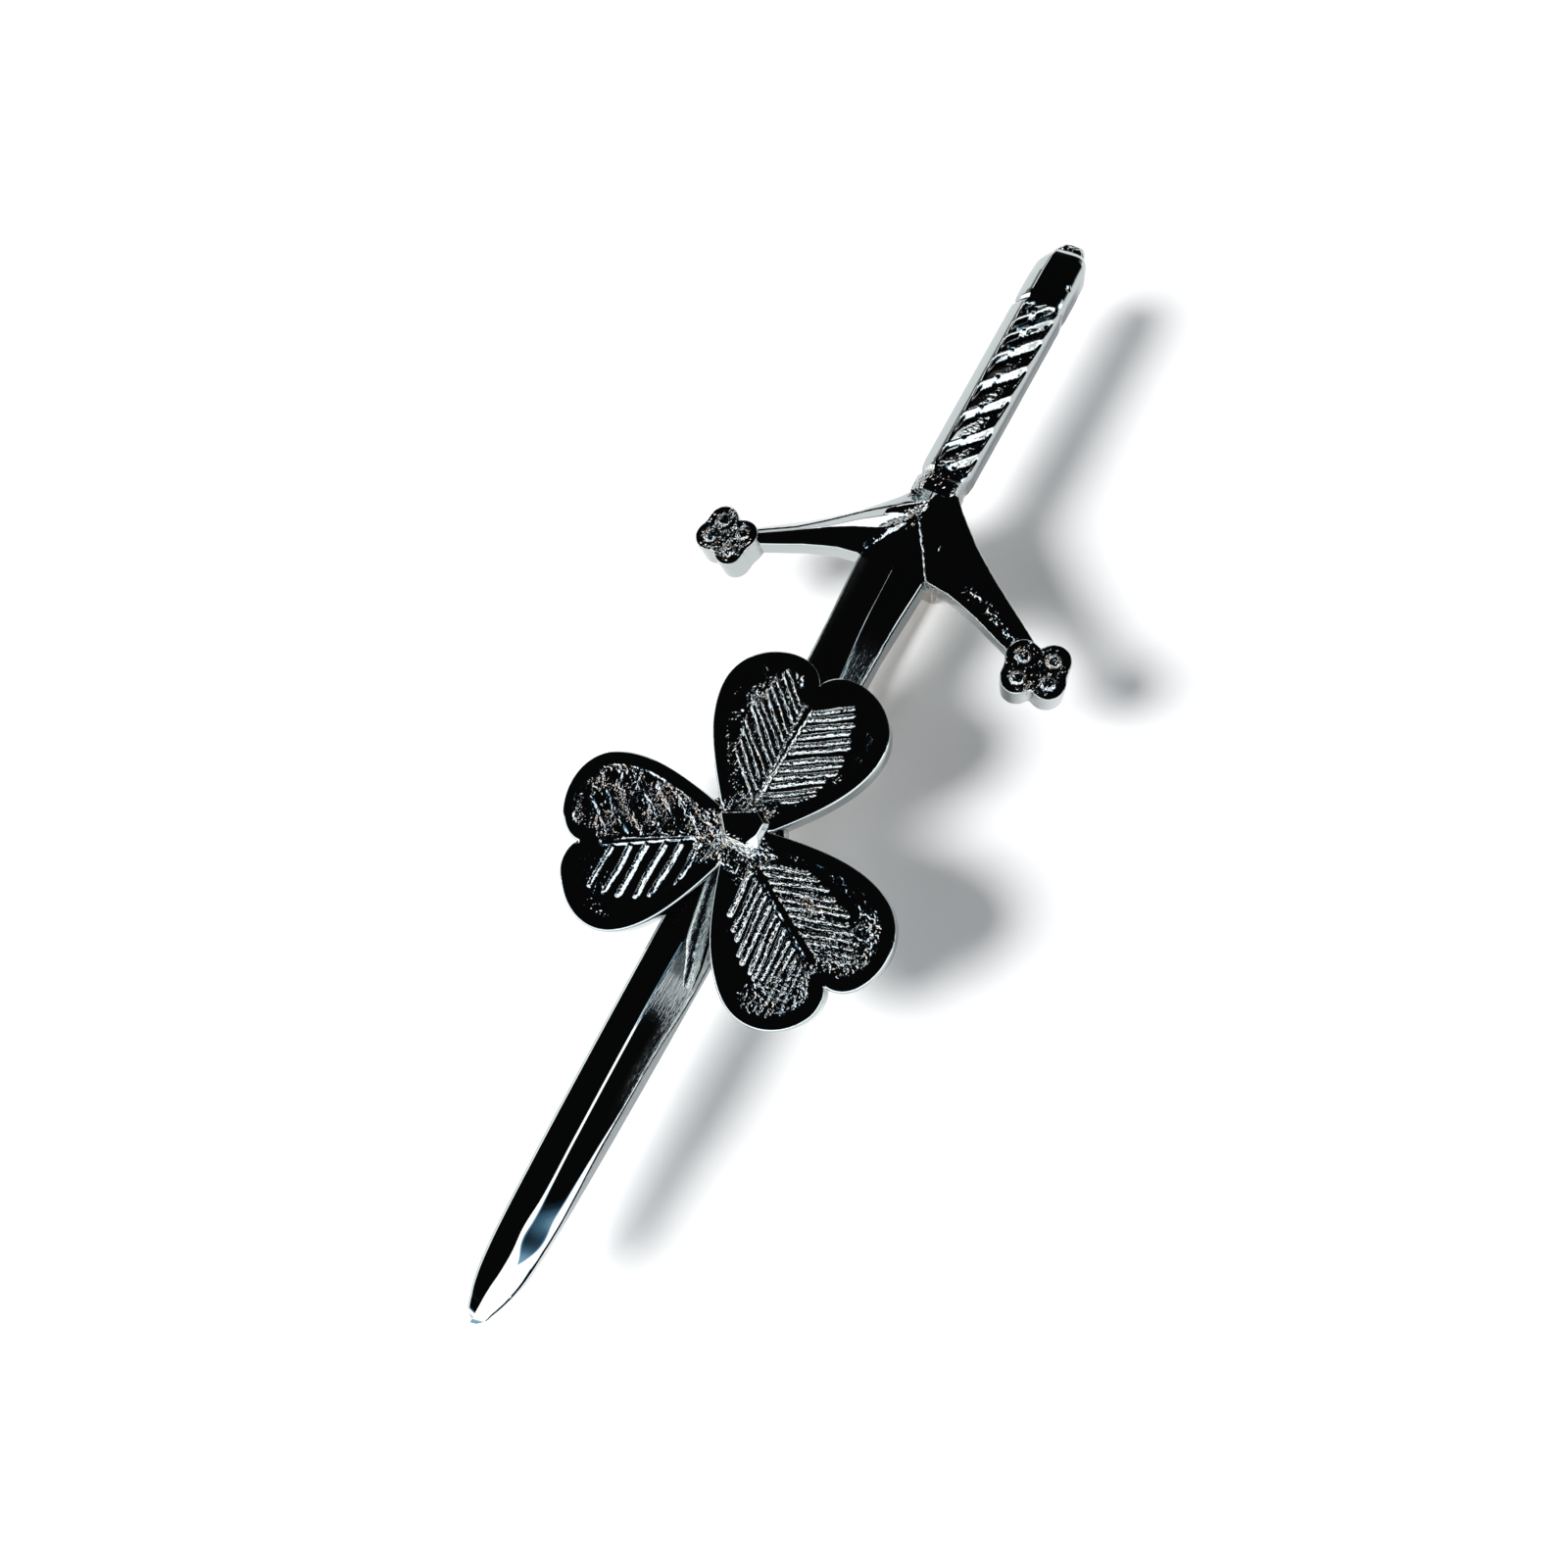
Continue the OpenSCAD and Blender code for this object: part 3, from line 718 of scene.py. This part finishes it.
def leaf_outline(size):
    """Outline of one leaf along +Y from the badge's middle, from its heel round to its heel."""
    long, half = size.leaf_length / MM, size.leaf_width / MM / 2
    base, wide = Vector((0.285 * half, 0.07 * long)), Vector((half, 0.705 * long))
    lobe, notch = Vector((0.34 * half, long)), Vector((0, 0.905 * long))
    side, top, dip = wide.y - base.y, lobe.y - wide.y, lobe.y - notch.y
    runs = [
        (base, base + side * Vector((0.3, 0.34)), wide - Vector((0, side * 0.33)), wide, 30),
        (wide, wide + Vector((0, top * 0.55)), lobe + Vector(((wide.x - lobe.x) * 0.55, 0)), lobe, 24),
        (lobe, lobe - Vector((lobe.x * 0.55, 0)), notch + Vector((lobe.x * 0.12, dip * 0.5)), notch, 14),
    ]
    right = []
    for a, b, c, d, steps in runs:
        right += interpolate_bezier(a, b, c, d, steps)[:-1]
    return right + [notch] + [Vector((-p.x, p.y)) for p in right[::-1]]


def nearest_edge(points, x, y):
    """Distance of each place from an open line of points, and the way out across the line."""
    best, out_x, out_y = np.full_like(x, 1e9), np.zeros_like(x), np.zeros_like(x)
    for a, b in zip(points, points[1:]):
        d = b - a
        t = np.clip(((x - a.x) * d.x + (y - a.y) * d.y) / d.length_squared, 0, 1)
        away = np.hypot(x - a.x - t * d.x, y - a.y - t * d.y)
        nearer = away < best
        best = np.where(nearer, away, best)
        out_x, out_y = np.where(nearer, d.y / d.length, out_x), np.where(nearer, -d.x / d.length, out_y)
    return best, out_x, out_y


# Leaves: turn, slopes of the midrib's flanks and steepness of the border's step (each right, left),
# grain round the lobes, seed
LEAVES = [
    (0, (0.95, 0.5), (0, 0), 0.1, 3),
    (120, (0.3, 0.85), (0.6, 0), 0.4, 5),
    (240, (0.3, 0.3), (0, 0.3), 0.9, 8),
]
# Veins on the right and the left half of each leaf: lean, ridges on each vein, slope of their
# lit flank, height, grain on the ridges and grain between them
VEINS = [
    ((58, 2, 0.85, 1, 0.4, 0.25), (49, 2, 0.7, 0.9, 0.6, 0.6)),
    ((61, 1, 0.4, 1, 0, 1), (60, 1, 0.95, 1.7, 0.2, 0)),
    ((55, 2, 0.95, 1.2, 0.4, 0.35), (50, 2, 0.85, 1, 0.5, 0.5)),
]
# A ridge's level top, and its narrow flank away from the light
RIDGE_TOP, RIDGE_BACK = 0.08, 0.12
# Rough spots of the casting: leaf, place on it, radius
ROUGH_SPOTS = [(0, -3.9, 10.2, 1.3), (0, -2.6, 4.4, 1.1), (1, 3.4, 5.6, 1.6), (2, -2.3, 7.6, 1.2)]
# The badge's edge is worn round over this width on the side that faces the photo's lower edge
WORN_SIDE, WORN_WIDTH = Vector((0.4, -0.92)), 0.36
# Width of the small faces that follow the relief
RELIEF_PITCH = 0.09


def vein_ribs(size, x, y, lit, rib_slopes, halves, seed):
    """Height of the midrib and the side veins in millimetres, on a leaf that lies along +Y."""
    rng = np.random.default_rng(seed)
    long, high = size.leaf_length / MM, size.vein_height / MM
    first, last = 0.185 * long, 0.76 * long
    rib_half = 0.24 + 0.3 * np.clip((y - first) / (last - first), 0, 1)
    ends = soft_band(y, first - 0.5, first, last, last + 0.35)
    ribs = np.clip((rib_half - np.abs(x)) * np.where(x > 0, *rib_slopes), 0, high) * ends
    for side, (lean, doubled, slope, share, _, _) in zip((1, -1), halves):
        for k in range(size.vein_count * doubled):
            start = first + size.vein_pitch / MM * k / doubled + rng.uniform(-0.08, 0.08)
            turn = math.radians(lean + rng.uniform(-1.5, 1.5))
            swell = math.sin(math.pi * (k / doubled + 0.7) / size.vein_count)
            reach = 4.2 + 1.5 * swell + rng.uniform(-0.4, 0.2)
            dx, dy = side * math.sin(turn), math.cos(turn)
            t = x * dx + (y - start) * dy
            off = (x * dy - (y - start) * dx) * (1 if dy * lit.x - dx * lit.y > 0 else -1)
            off = off + 0.04 * np.sin(1.3 * t + 2 * k)
            top = high * share * rng.uniform(0.85, 1)
            ends = soft_band(t, 0.3, 0.6, reach - 0.4, reach) * (np.abs(x) > rib_half)
            front, back = np.clip(off * slope / top, 0, 1), np.clip((-off - RIDGE_TOP) / RIDGE_BACK, 0, 1)
            ribs = np.maximum(ribs, top * (1 - np.maximum(front, back)) * ends)
    return ribs


def leaf_block(size, outline):
    """A leaf with upright walls and a rounded edge, its top cut into small faces."""
    part = new_bmesh()
    under, high, edge = size.under / MM, size.thickness / MM, size.edge_round / MM
    foot = part.faces.new([part.verts.new((p.x, p.y, under)) for p in outline + [Vector((0, 0))]])
    raised = bmesh.ops.extrude_face_region(part, geom=[foot], use_keep_orig=True)["geom"]
    top = [f for f in raised if isinstance(f, bmesh.types.BMFace)][0]
    bmesh.ops.translate(part, verts=top.verts, vec=(0, 0, high - edge))
    bmesh.ops.recalc_face_normals(part, faces=part.faces)
    # four steps round the edge, then three level ones
    turns = np.linspace(0, math.pi / 2, 5)
    steps = list(zip(-edge * np.diff(np.cos(turns)), edge * np.diff(np.sin(turns))))
    inset = {"use_boundary": True, "use_even_offset": True}
    for inwards, upwards in steps + [(0.05, 0), (0.06, 0), (0.07, 0)]:
        bmesh.ops.inset_region(part, faces=[top], thickness=inwards, depth=upwards, **inset)
    crown = under + high - 1e-3
    for axis in (0, 1):
        towards = Vector((1 - axis, axis, 0))
        rest = [f for f in part.faces if min(v.co.z for v in f.verts) > crown]
        places = [v.co[axis] for f in rest for v in f.verts]
        for place in np.arange(min(places) + RELIEF_PITCH / 2, max(places), RELIEF_PITCH):
            geom = rest + list({e for f in rest for e in f.edges}) + list({v for f in rest for v in f.verts})
            cut = {"plane_co": towards * place, "plane_no": towards}
            done = bmesh.ops.bisect_plane(part, geom=geom, dist=1e-4, **cut)["geom"]
            faces = [g for g in done if isinstance(g, bmesh.types.BMFace)]
            rest = [f for f in faces if max(v.co[axis] for v in f.verts) > place + 1e-3]
    return part


def add_leaf(bm, size, number):
    """One leaf: wall, rounded edge, polished border and a sunk field with raised veins."""
    turn, rib_slopes, steep, round_lobes, seed = LEAVES[number]
    angle = math.radians(turn)
    outline = leaf_outline(size)
    part = leaf_block(size, outline)
    field = [v for v in part.verts if v.co.z > (size.under + size.thickness / 2) / MM]
    x, y, flat = (np.array([v.co[axis] for v in field]) for axis in range(3))
    rim, out_x, out_y = nearest_edge([Vector(p) for p in outline], x, y)
    into = rim - (size.edge_round + size.border) / MM
    right = ease(x, -0.6, 0.6)

    # the field sinks behind the border, in places with a hard step that is softer at the notch
    hard = (steep[0] * right + steep[1] * (1 - right)) * ease(y, 2, 4)
    hard = hard * (1 - ease(np.hypot(x, y - 13.5), 3.5, 2) * 0.8)
    sunk = (1 - hard) * ease(into, -0.4, 1.3) + hard * ease(into, 0, 0.3)
    lit = Matrix.Rotation(-angle, 2) @ WORN_SIDE
    raised = vein_ribs(size, x, y, lit, rib_slopes, VEINS[number], seed) * ease(into, 0.1, 0.6)
    ribs = np.clip(raised / size.vein_height * MM, 0, 1)
    worn = ease(lit.x * out_x + lit.y * out_y, 0, 0.4) * edge_drop(rim, WORN_WIDTH)

    grains = [VEINS[number][0][k] * right + VEINS[number][1][k] * (1 - right) for k in (4, 5)]
    patches = 0.8 + 0.4 * bumps(x, y, 2.6, seed + 9)
    lobes = round_lobes * ease(y, 9.2, 11)
    rough = [grains[0] * np.sqrt(ribs), grains[1] * patches * (1 - ribs), lobes * (1 - 0.7 * ribs)]
    for leaf, spot_x, spot_y, radius in ROUGH_SPOTS:
        if leaf == number:
            rough.append(bell(np.hypot(x - spot_x, y - spot_y), radius))
    rough = np.maximum.reduce(rough) * ease(into, -0.1, 0.4)
    heel = 0.9 * (1 - ease(y, 2.9, 4.2)) * (1 - ease(np.abs(x), 1.6, 2.4))
    rough = np.clip(np.maximum(rough, heel), 0, 1)

    z = flat - worn - size.field_depth / MM * sunk + raised + 0.02 * bumps(x, y, 0.4, seed) * rough
    grain, warm = (part.verts.layers.float[layer] for layer in ("grain", "warm"))
    for v, height, amount in zip(field, z, rough):
        v.co.z = height
        v[grain] = amount
        v[warm] = 0.45 * max(0, amount - 0.5) * steep[0] if v.co.x > 0 else 0
    bmesh.ops.triangulate(part, faces=[f for f in part.faces if len(f.verts) > 4])
    spin = Matrix.Translation((0, size.middle / MM, 0)) @ Matrix.Rotation(angle, 4, "Z")
    bmesh.ops.transform(part, matrix=spin, verts=part.verts)
    mesh = free_to_mesh(part, "leaf")
    bm.from_mesh(mesh)
    bpy.data.meshes.remove(mesh)


# Stem: place along the sword, left edge, right edge, height above the sword's back
STEM_STATIONS = [
    (29.1, 1.7, 2.54, 2.68), (29.6, 1.45, 2.52, 2.7), (30.9, 0.85, 2.42, 2.72), (32.2, 0.2, 2.15, 2.78),
    (33.6, -0.12, 1.78, 2.85), (35.2, -0.42, 1.3, 2.95), (36.5, -0.62, 0.98, 3.05),
    (38, -0.66, 0.85, 3.1), (40.2, -0.75, 0.75, 3.1),
]


def add_stem(bm, size):
    """The stem, which runs down over the blade and ends in a cut."""
    around, along = 32, 120
    left_edge, right_edge, height = ({r[0]: r[k] for r in STEM_STATIONS} for k in (1, 2, 3))
    places = np.linspace(STEM_STATIONS[0][0], STEM_STATIONS[-1][0], along + 1)
    foot = size.under / MM - 0.1

    def place(i, j):
        y = places[j]
        left, right, high = curve(left_edge, y), curve(right_edge, y), curve(height, y)
        middle = (left + right) / 2
        a = math.pi * (1 - np.clip(i, 0, around) / around)
        c, s = np.cos(a), np.maximum(np.sin(a), 0)
        x = middle + (right - left) / 2 * np.sign(c) * np.abs(c) ** 0.7
        z = foot + (high - foot) * s**0.4
        # the stem's right half slopes down to the blade
        z = np.where(s > 0.2, np.maximum(z - 0.74 * np.maximum(x - middle, 0), foot + 0.2), z)
        return np.where(i > around, left, x), y, np.where((i == 0) | (i >= around), foot, z)

    def grain(x, y, z):
        return np.where(z > foot + 0.3, 0.15, 0.1)

    def brushed(x, y, z):
        return np.where(z > foot + 0.1, 0.5, 0)

    add_shell(bm, around + 1, along, place, grain=grain, brushed=brushed)


# Worn sides of the boss: direction in degrees, distance from its middle, slope in degrees
BOSS_SIDES = [(119, 0.95, 78), (63, 1.4, 62), (3, 1.45, 62), (-20, 1.34, 46), (-86, 1.2, 52), (220, 1.25, 60)]
BOSS_MIDDLE = Vector((0.1, 0.8))
# Slope of its top, which leans back, and how far its middle is below its highest side
BOSS_LEAN, BOSS_DROP = Vector((0.065, -0.1131)), 0.169


def add_boss(bm, size):
    """The boss, a cut stud with worn sides whose top leans back, on a rough foot."""
    around, rings, reach = 132, 46, 2.5
    leaf_top = (size.under + size.thickness) / MM
    foot, top = leaf_top - 0.14, leaf_top + size.boss_height / MM - 0.03
    middle = BOSS_MIDDLE + Vector((0, size.middle / MM))

    def place(i, j):
        r, u, v = polar(i, j, around, rings, reach)
        x, y = BOSS_MIDDLE.x + u, BOSS_MIDDLE.y + v
        z = top + BOSS_LEAN.x * u + BOSS_LEAN.y * v - BOSS_DROP
        for direction, distance, slope in BOSS_SIDES:
            d = math.radians(direction)
            beyond = u * math.cos(d) + v * math.sin(d) - distance
            z = soft_min(z, top - math.tan(math.radians(slope)) * beyond, 0.05)
        base = foot - 0.1 * ease(r, 1.9, 2.2) - 0.5 * ease(r, 2.25, 2.5)
        z = soft_max(z, base + 0.05 * bumps(x, y, 0.7, 4), 0.06)
        return middle.x + u, middle.y + v, np.where(j > rings, np.where(j == rings + 1, 2.2, 2), z)

    def grain(x, y, z):
        worn_low = 0.5 * ease(middle.y - y, 0.7, 1.3)
        return np.where(z < foot + 0.1, 0.9, 0.06 + worn_low)

    add_shell(bm, around, rings + 2, place, grain=grain)


def add_web(bm, size):
    """The round web that joins the leaves below their tops."""
    around, rings, reach = 96, 24, 3.7
    high = (size.under + size.thickness * 0.6) / MM

    def place(i, j):
        r, x, y = polar(i, j, around, rings, reach)
        z = high + 0.04 * bumps(x, y, 0.9, 12) - edge_drop(reach - r, 0.3)
        return x, y + size.middle / MM, np.where(j > rings, size.under / MM + 0.02, z)

    def grain(x, y, z):
        return np.full_like(x, 0.6)

    add_shell(bm, around, rings + 1, place, grain=grain)


def add_rod(bm, y, radius, low, high, sides):
    ends = {"radius1": radius, "radius2": radius, "depth": high - low}
    verts = bmesh.ops.create_cone(bm, cap_ends=True, segments=sides, **ends)["verts"]
    bmesh.ops.translate(bm, verts=verts, vec=(0, y, (low + high) / 2))
    return verts


def break_edges(bm, edges, width, steps):
    bmesh.ops.bevel(bm, geom=edges, offset=width, segments=steps, profile=0.5, affect="EDGES", material=-1)


def add_posts(bm, size, bar):
    """The two posts through blade and bar, with domed heads under the bar."""
    tall = size.head_height / MM
    low = -(GAP + bar.bar_thickness / MM + GAP + tall)
    for y in (size.middle / MM, (size.middle + size.post_pitch) / MM):
        add_rod(bm, y, size.post_diameter / MM / 2, low + tall / 2, 2.6, 40)
        rivet = add_rod(bm, y, size.head_diameter / MM / 2, low, low + tall, 48)
        edges = {e for v in rivet for e in v.link_edges}
        under = [e for e in edges if all(v.co.z < low + 0.01 for v in e.verts)]
        break_edges(bm, under, tall * 0.85, 6)


class KILTPIN_OT_shamrock(bpy.types.Operator):
    """Builds the shamrock: three leaves, boss, stem and the hidden posts in one casting"""

    bl_idname = "kilt_pin.shamrock"
    bl_label = "Shamrock"

    def execute(self, context):
        size = context.scene.kilt_pin_badge
        bm = new_bmesh()
        for number in range(len(LEAVES)):
            add_leaf(bm, size, number)
        add_web(bm, size)
        add_boss(bm, size)
        add_stem(bm, size)
        add_posts(bm, size, context.scene.kilt_pin_bar)
        colours = context.scene.kilt_pin_colours
        # the badge's plate is the sword's, with a coarser grain in the fields
        chrome = plated_metal("grained_chrome_plate", colours.chrome, 0.05, 0.3, 0.015)
        finish_piece(bm, "shamrock_badge", chrome, "shamrock")
        return {"FINISHED"}


# Bar pin


def add_block(bm, low, high, edge):
    """A block between two corners, with softly broken edges."""
    verts = bmesh.ops.create_cube(bm, size=1)["verts"]
    low, high = Vector(low), Vector(high)
    bmesh.ops.scale(bm, verts=verts, vec=high - low)
    bmesh.ops.translate(bm, verts=verts, vec=(low + high) / 2)
    edges = {e for v in verts for e in v.link_edges}
    break_edges(bm, list(edges), edge, 3)


def add_needle(bm, size, start, taper, tip, high):
    """The needle, spun round its axis from its root to a rounded point."""
    radius = size.needle_diameter / MM / 2
    profile = [(start, 0), (start, radius), (taper, radius)]
    for t in (0.15, 0.3, 0.5, 0.7, 0.85, 0.96):
        profile.append((taper + (tip - taper) * t, radius * (1 - 0.8 * t**1.3)))
    profile += [(tip, radius * 0.12), (tip, 0)]
    verts = [bm.verts.new((r, y, high)) for y, r in profile]
    edges = [bm.edges.new(pair) for pair in zip(verts, verts[1:])]
    turn = {"cent": (0, 0, high), "axis": (0, 1, 0), "angle": 2 * math.pi, "steps": 40}
    bmesh.ops.spin(bm, geom=verts + edges, use_merge=True, **turn)
    bmesh.ops.remove_doubles(bm, verts=bm.verts, dist=SAME_PLACE)


# Ends of the bar by distance from the sword's point
BAR_ENDS = (34, 71)


class KILTPIN_OT_bar_pin(bpy.types.Operator):
    """Builds the bar pin behind the sword: bar, hinge block, needle and catch in one plain piece"""

    bl_idname = "kilt_pin.bar_pin"
    bl_label = "Bar pin"

    def execute(self, context):
        size = context.scene.kilt_pin_bar
        bm = new_bmesh()
        half, wall, needle = size.bar_width / MM / 2, size.wall / MM, size.needle_diameter / MM
        top = -GAP
        sole = top - (size.bar_thickness + size.clear_height) / MM - 2 * GAP - needle - wall
        catch_end, hinge_end = BAR_ENDS
        catch_top, hinge_low = catch_end + size.catch_length / MM, hinge_end - size.hinge_length / MM
        axis = sole + wall + GAP + needle / 2
        add_needle(bm, size, hinge_low + 1, catch_top + 1.6, catch_end - 0.6, axis)
        add_block(bm, (-half, catch_end, top - size.bar_thickness / MM), (half, hinge_end, top), 0.1)
        add_block(bm, (-half, hinge_low, sole), (half, hinge_end, top), 0.14)
        add_block(bm, (-half, catch_end, sole), (wall - half, catch_top, top), 0.1)
        add_block(bm, (-half, catch_end, sole), (half, catch_top, sole + wall), 0.1)
        add_block(bm, (half - wall, catch_end, sole), (half, catch_top, sole + wall + needle), 0.1)
        bmesh.ops.recalc_face_normals(bm, faces=bm.faces)
        colours = context.scene.kilt_pin_colours
        # nickel on drawn steel is warmer and duller than chrome
        nickel = plated_metal("plain_nickel_plate", colours.nickel, 0.2, 0.03, 0.01)
        finish_piece(bm, "bar_fitting", nickel, "bar_pin")
        return {"FINISHED"}


# Stage

# The fitted view: focal length and frame in pixels, place in metres, turn in degrees
FOCAL, FRAME = 900, 1600
EYE_PLACE = (0.021411, -0.007722, 0.075265)
EYE_TURN = (12.3824, 13.0783, 29.8026)
# The tent's walls by height: grey and low on the photo's upper side, white on its lower side
UPPER_WALL = [(0, "#707070"), (0.1, "#606060"), (0.22, "#060606")]
LOWER_WALL = [(0, "#ffffff"), (0.47, "#ffffff"), (0.51, "#7b9db3")]
LOWER_WALL += [(0.57, "#3c5a70"), (0.62, "#14242e"), (0.68, "#060606")]
LOWER_SIDE = (0.216, -0.976, 0)
# A round opening in the dark roof: direction, and angles where it starts and where it is white
OPENING = (-0.63, 0.63, 0.454)
OPENING_ANGLES = [math.radians(a) for a in (13, 10)]
LAMP = Vector((-0.51322, -0.43081, 0.743))


def add_view(scene):
    camera = bpy.data.cameras.new("photo_camera")
    camera.sensor_width = 36
    camera.lens = camera.sensor_width * FOCAL / FRAME
    camera.clip_start = 0.001
    camera.clip_end = 10
    scene.camera = add_object("photo_camera", camera)
    scene.camera.location = EYE_PLACE
    scene.camera.rotation_euler = Euler([math.radians(a) for a in EYE_TURN])


def add_floor(colour):
    bm = bmesh.new()
    bmesh.ops.create_circle(bm, cap_ends=True, segments=96, radius=1.5)
    floor = add_object("pale_floor", free_to_mesh(bm, "pale_floor"))
    floor.data.materials.append(white_paper(colour))


def add_lamp():
    """A lamp behind a diffuser on the photo's left. The metal mirrors the tent and not the lamp."""
    lamp = bpy.data.lights.new("diffused_lamp", "SUN")
    lamp.energy = 3.9
    lamp.angle = math.radians(24)
    sun = add_object("diffused_lamp", lamp)
    sun.rotation_euler = LAMP.to_track_quat("Z", "Y").to_euler()
    sun.visible_glossy = False


def add_tent(scene):
    """The light tent round the pin, with its opening."""
    scene.world = bpy.data.worlds.new("light_tent")
    tree = empty_tree(scene.world)
    where = add_node(tree, "TexCoord").outputs["Generated"]

    def reached(direction, low, high):
        """0 below the low share of a direction, 1 above the high share."""
        product = {"operation": "DOT_PRODUCT", 1: direction}
        share = add_node(tree, "VectorMath", product, {0: where}).outputs["Value"]
        limits = {"From Min": low, "From Max": high}
        return add_node(tree, "MapRange", limits, {"Value": share})

    rise = add_node(tree, "SeparateXYZ", {}, {"Vector": where}).outputs["Z"]
    upper, lower = add_ramp(tree, rise, UPPER_WALL), add_ramp(tree, rise, LOWER_WALL)
    walls = add_mix(tree, reached(LOWER_SIDE, -0.3, -0.1), upper, lower)
    opened = reached(OPENING, *(math.cos(a) for a in OPENING_ANGLES))
    tent = add_mix(tree, opened, walls, "#ffffff")
    back = add_node(tree, "Background", {"Strength": 2.4}, {"Color": tent})
    add_node(tree, "OutputWorld", {}, {"Surface": back})


class KILTPIN_OT_stage(bpy.types.Operator):
    """Sets the camera, the pale floor and the soft light of a white tent with a dark roof"""

    bl_idname = "kilt_pin.stage"
    bl_label = "Stage"

    def execute(self, context):
        add_view(context.scene)
        add_floor(context.scene.kilt_pin_colours.floor)
        add_lamp()
        add_tent(context.scene)
        context.scene.view_settings.view_transform = "Standard"
        return {"FINISHED"}


class KILTPIN_PT_panel(bpy.types.Panel):
    """Lists the pin's sizes, colours and pieces"""

    bl_idname = "KILTPIN_PT_panel"
    bl_label = "Kilt Pin"
    bl_space_type = "VIEW_3D"
    bl_region_type = "UI"
    bl_category = "Kilt Pin"

    def draw(self, context):
        for group in GROUPS:
            box = self.layout.box()
            values = getattr(context.scene, group)
            for name in values.__annotations__:
                box.prop(values, name)
        for operator in OPERATORS:
            self.layout.operator(operator.bl_idname)


GROUPS = {
    "kilt_pin_sword": SwordSizes,
    "kilt_pin_badge": BadgeSizes,
    "kilt_pin_bar": BarSizes,
    "kilt_pin_colours": PinColours,
}
OPERATORS = [KILTPIN_OT_sword, KILTPIN_OT_shamrock, KILTPIN_OT_bar_pin, KILTPIN_OT_stage]


def register():
    for cls in [*GROUPS.values(), *OPERATORS, KILTPIN_PT_panel]:
        bpy.utils.register_class(cls)
    for name, cls in GROUPS.items():
        setattr(bpy.types.Scene, name, PointerProperty(type=cls))


def unregister():
    for name in GROUPS:
        delattr(bpy.types.Scene, name)
    for cls in reversed([*GROUPS.values(), *OPERATORS, KILTPIN_PT_panel]):
        bpy.utils.unregister_class(cls)


def main():
    register()
    bpy.ops.kilt_pin.sword()
    bpy.ops.kilt_pin.shamrock()
    bpy.ops.kilt_pin.bar_pin()
    bpy.ops.kilt_pin.stage()
    bpy.context.view_layer.update()


if __name__ == "__main__":
    main()
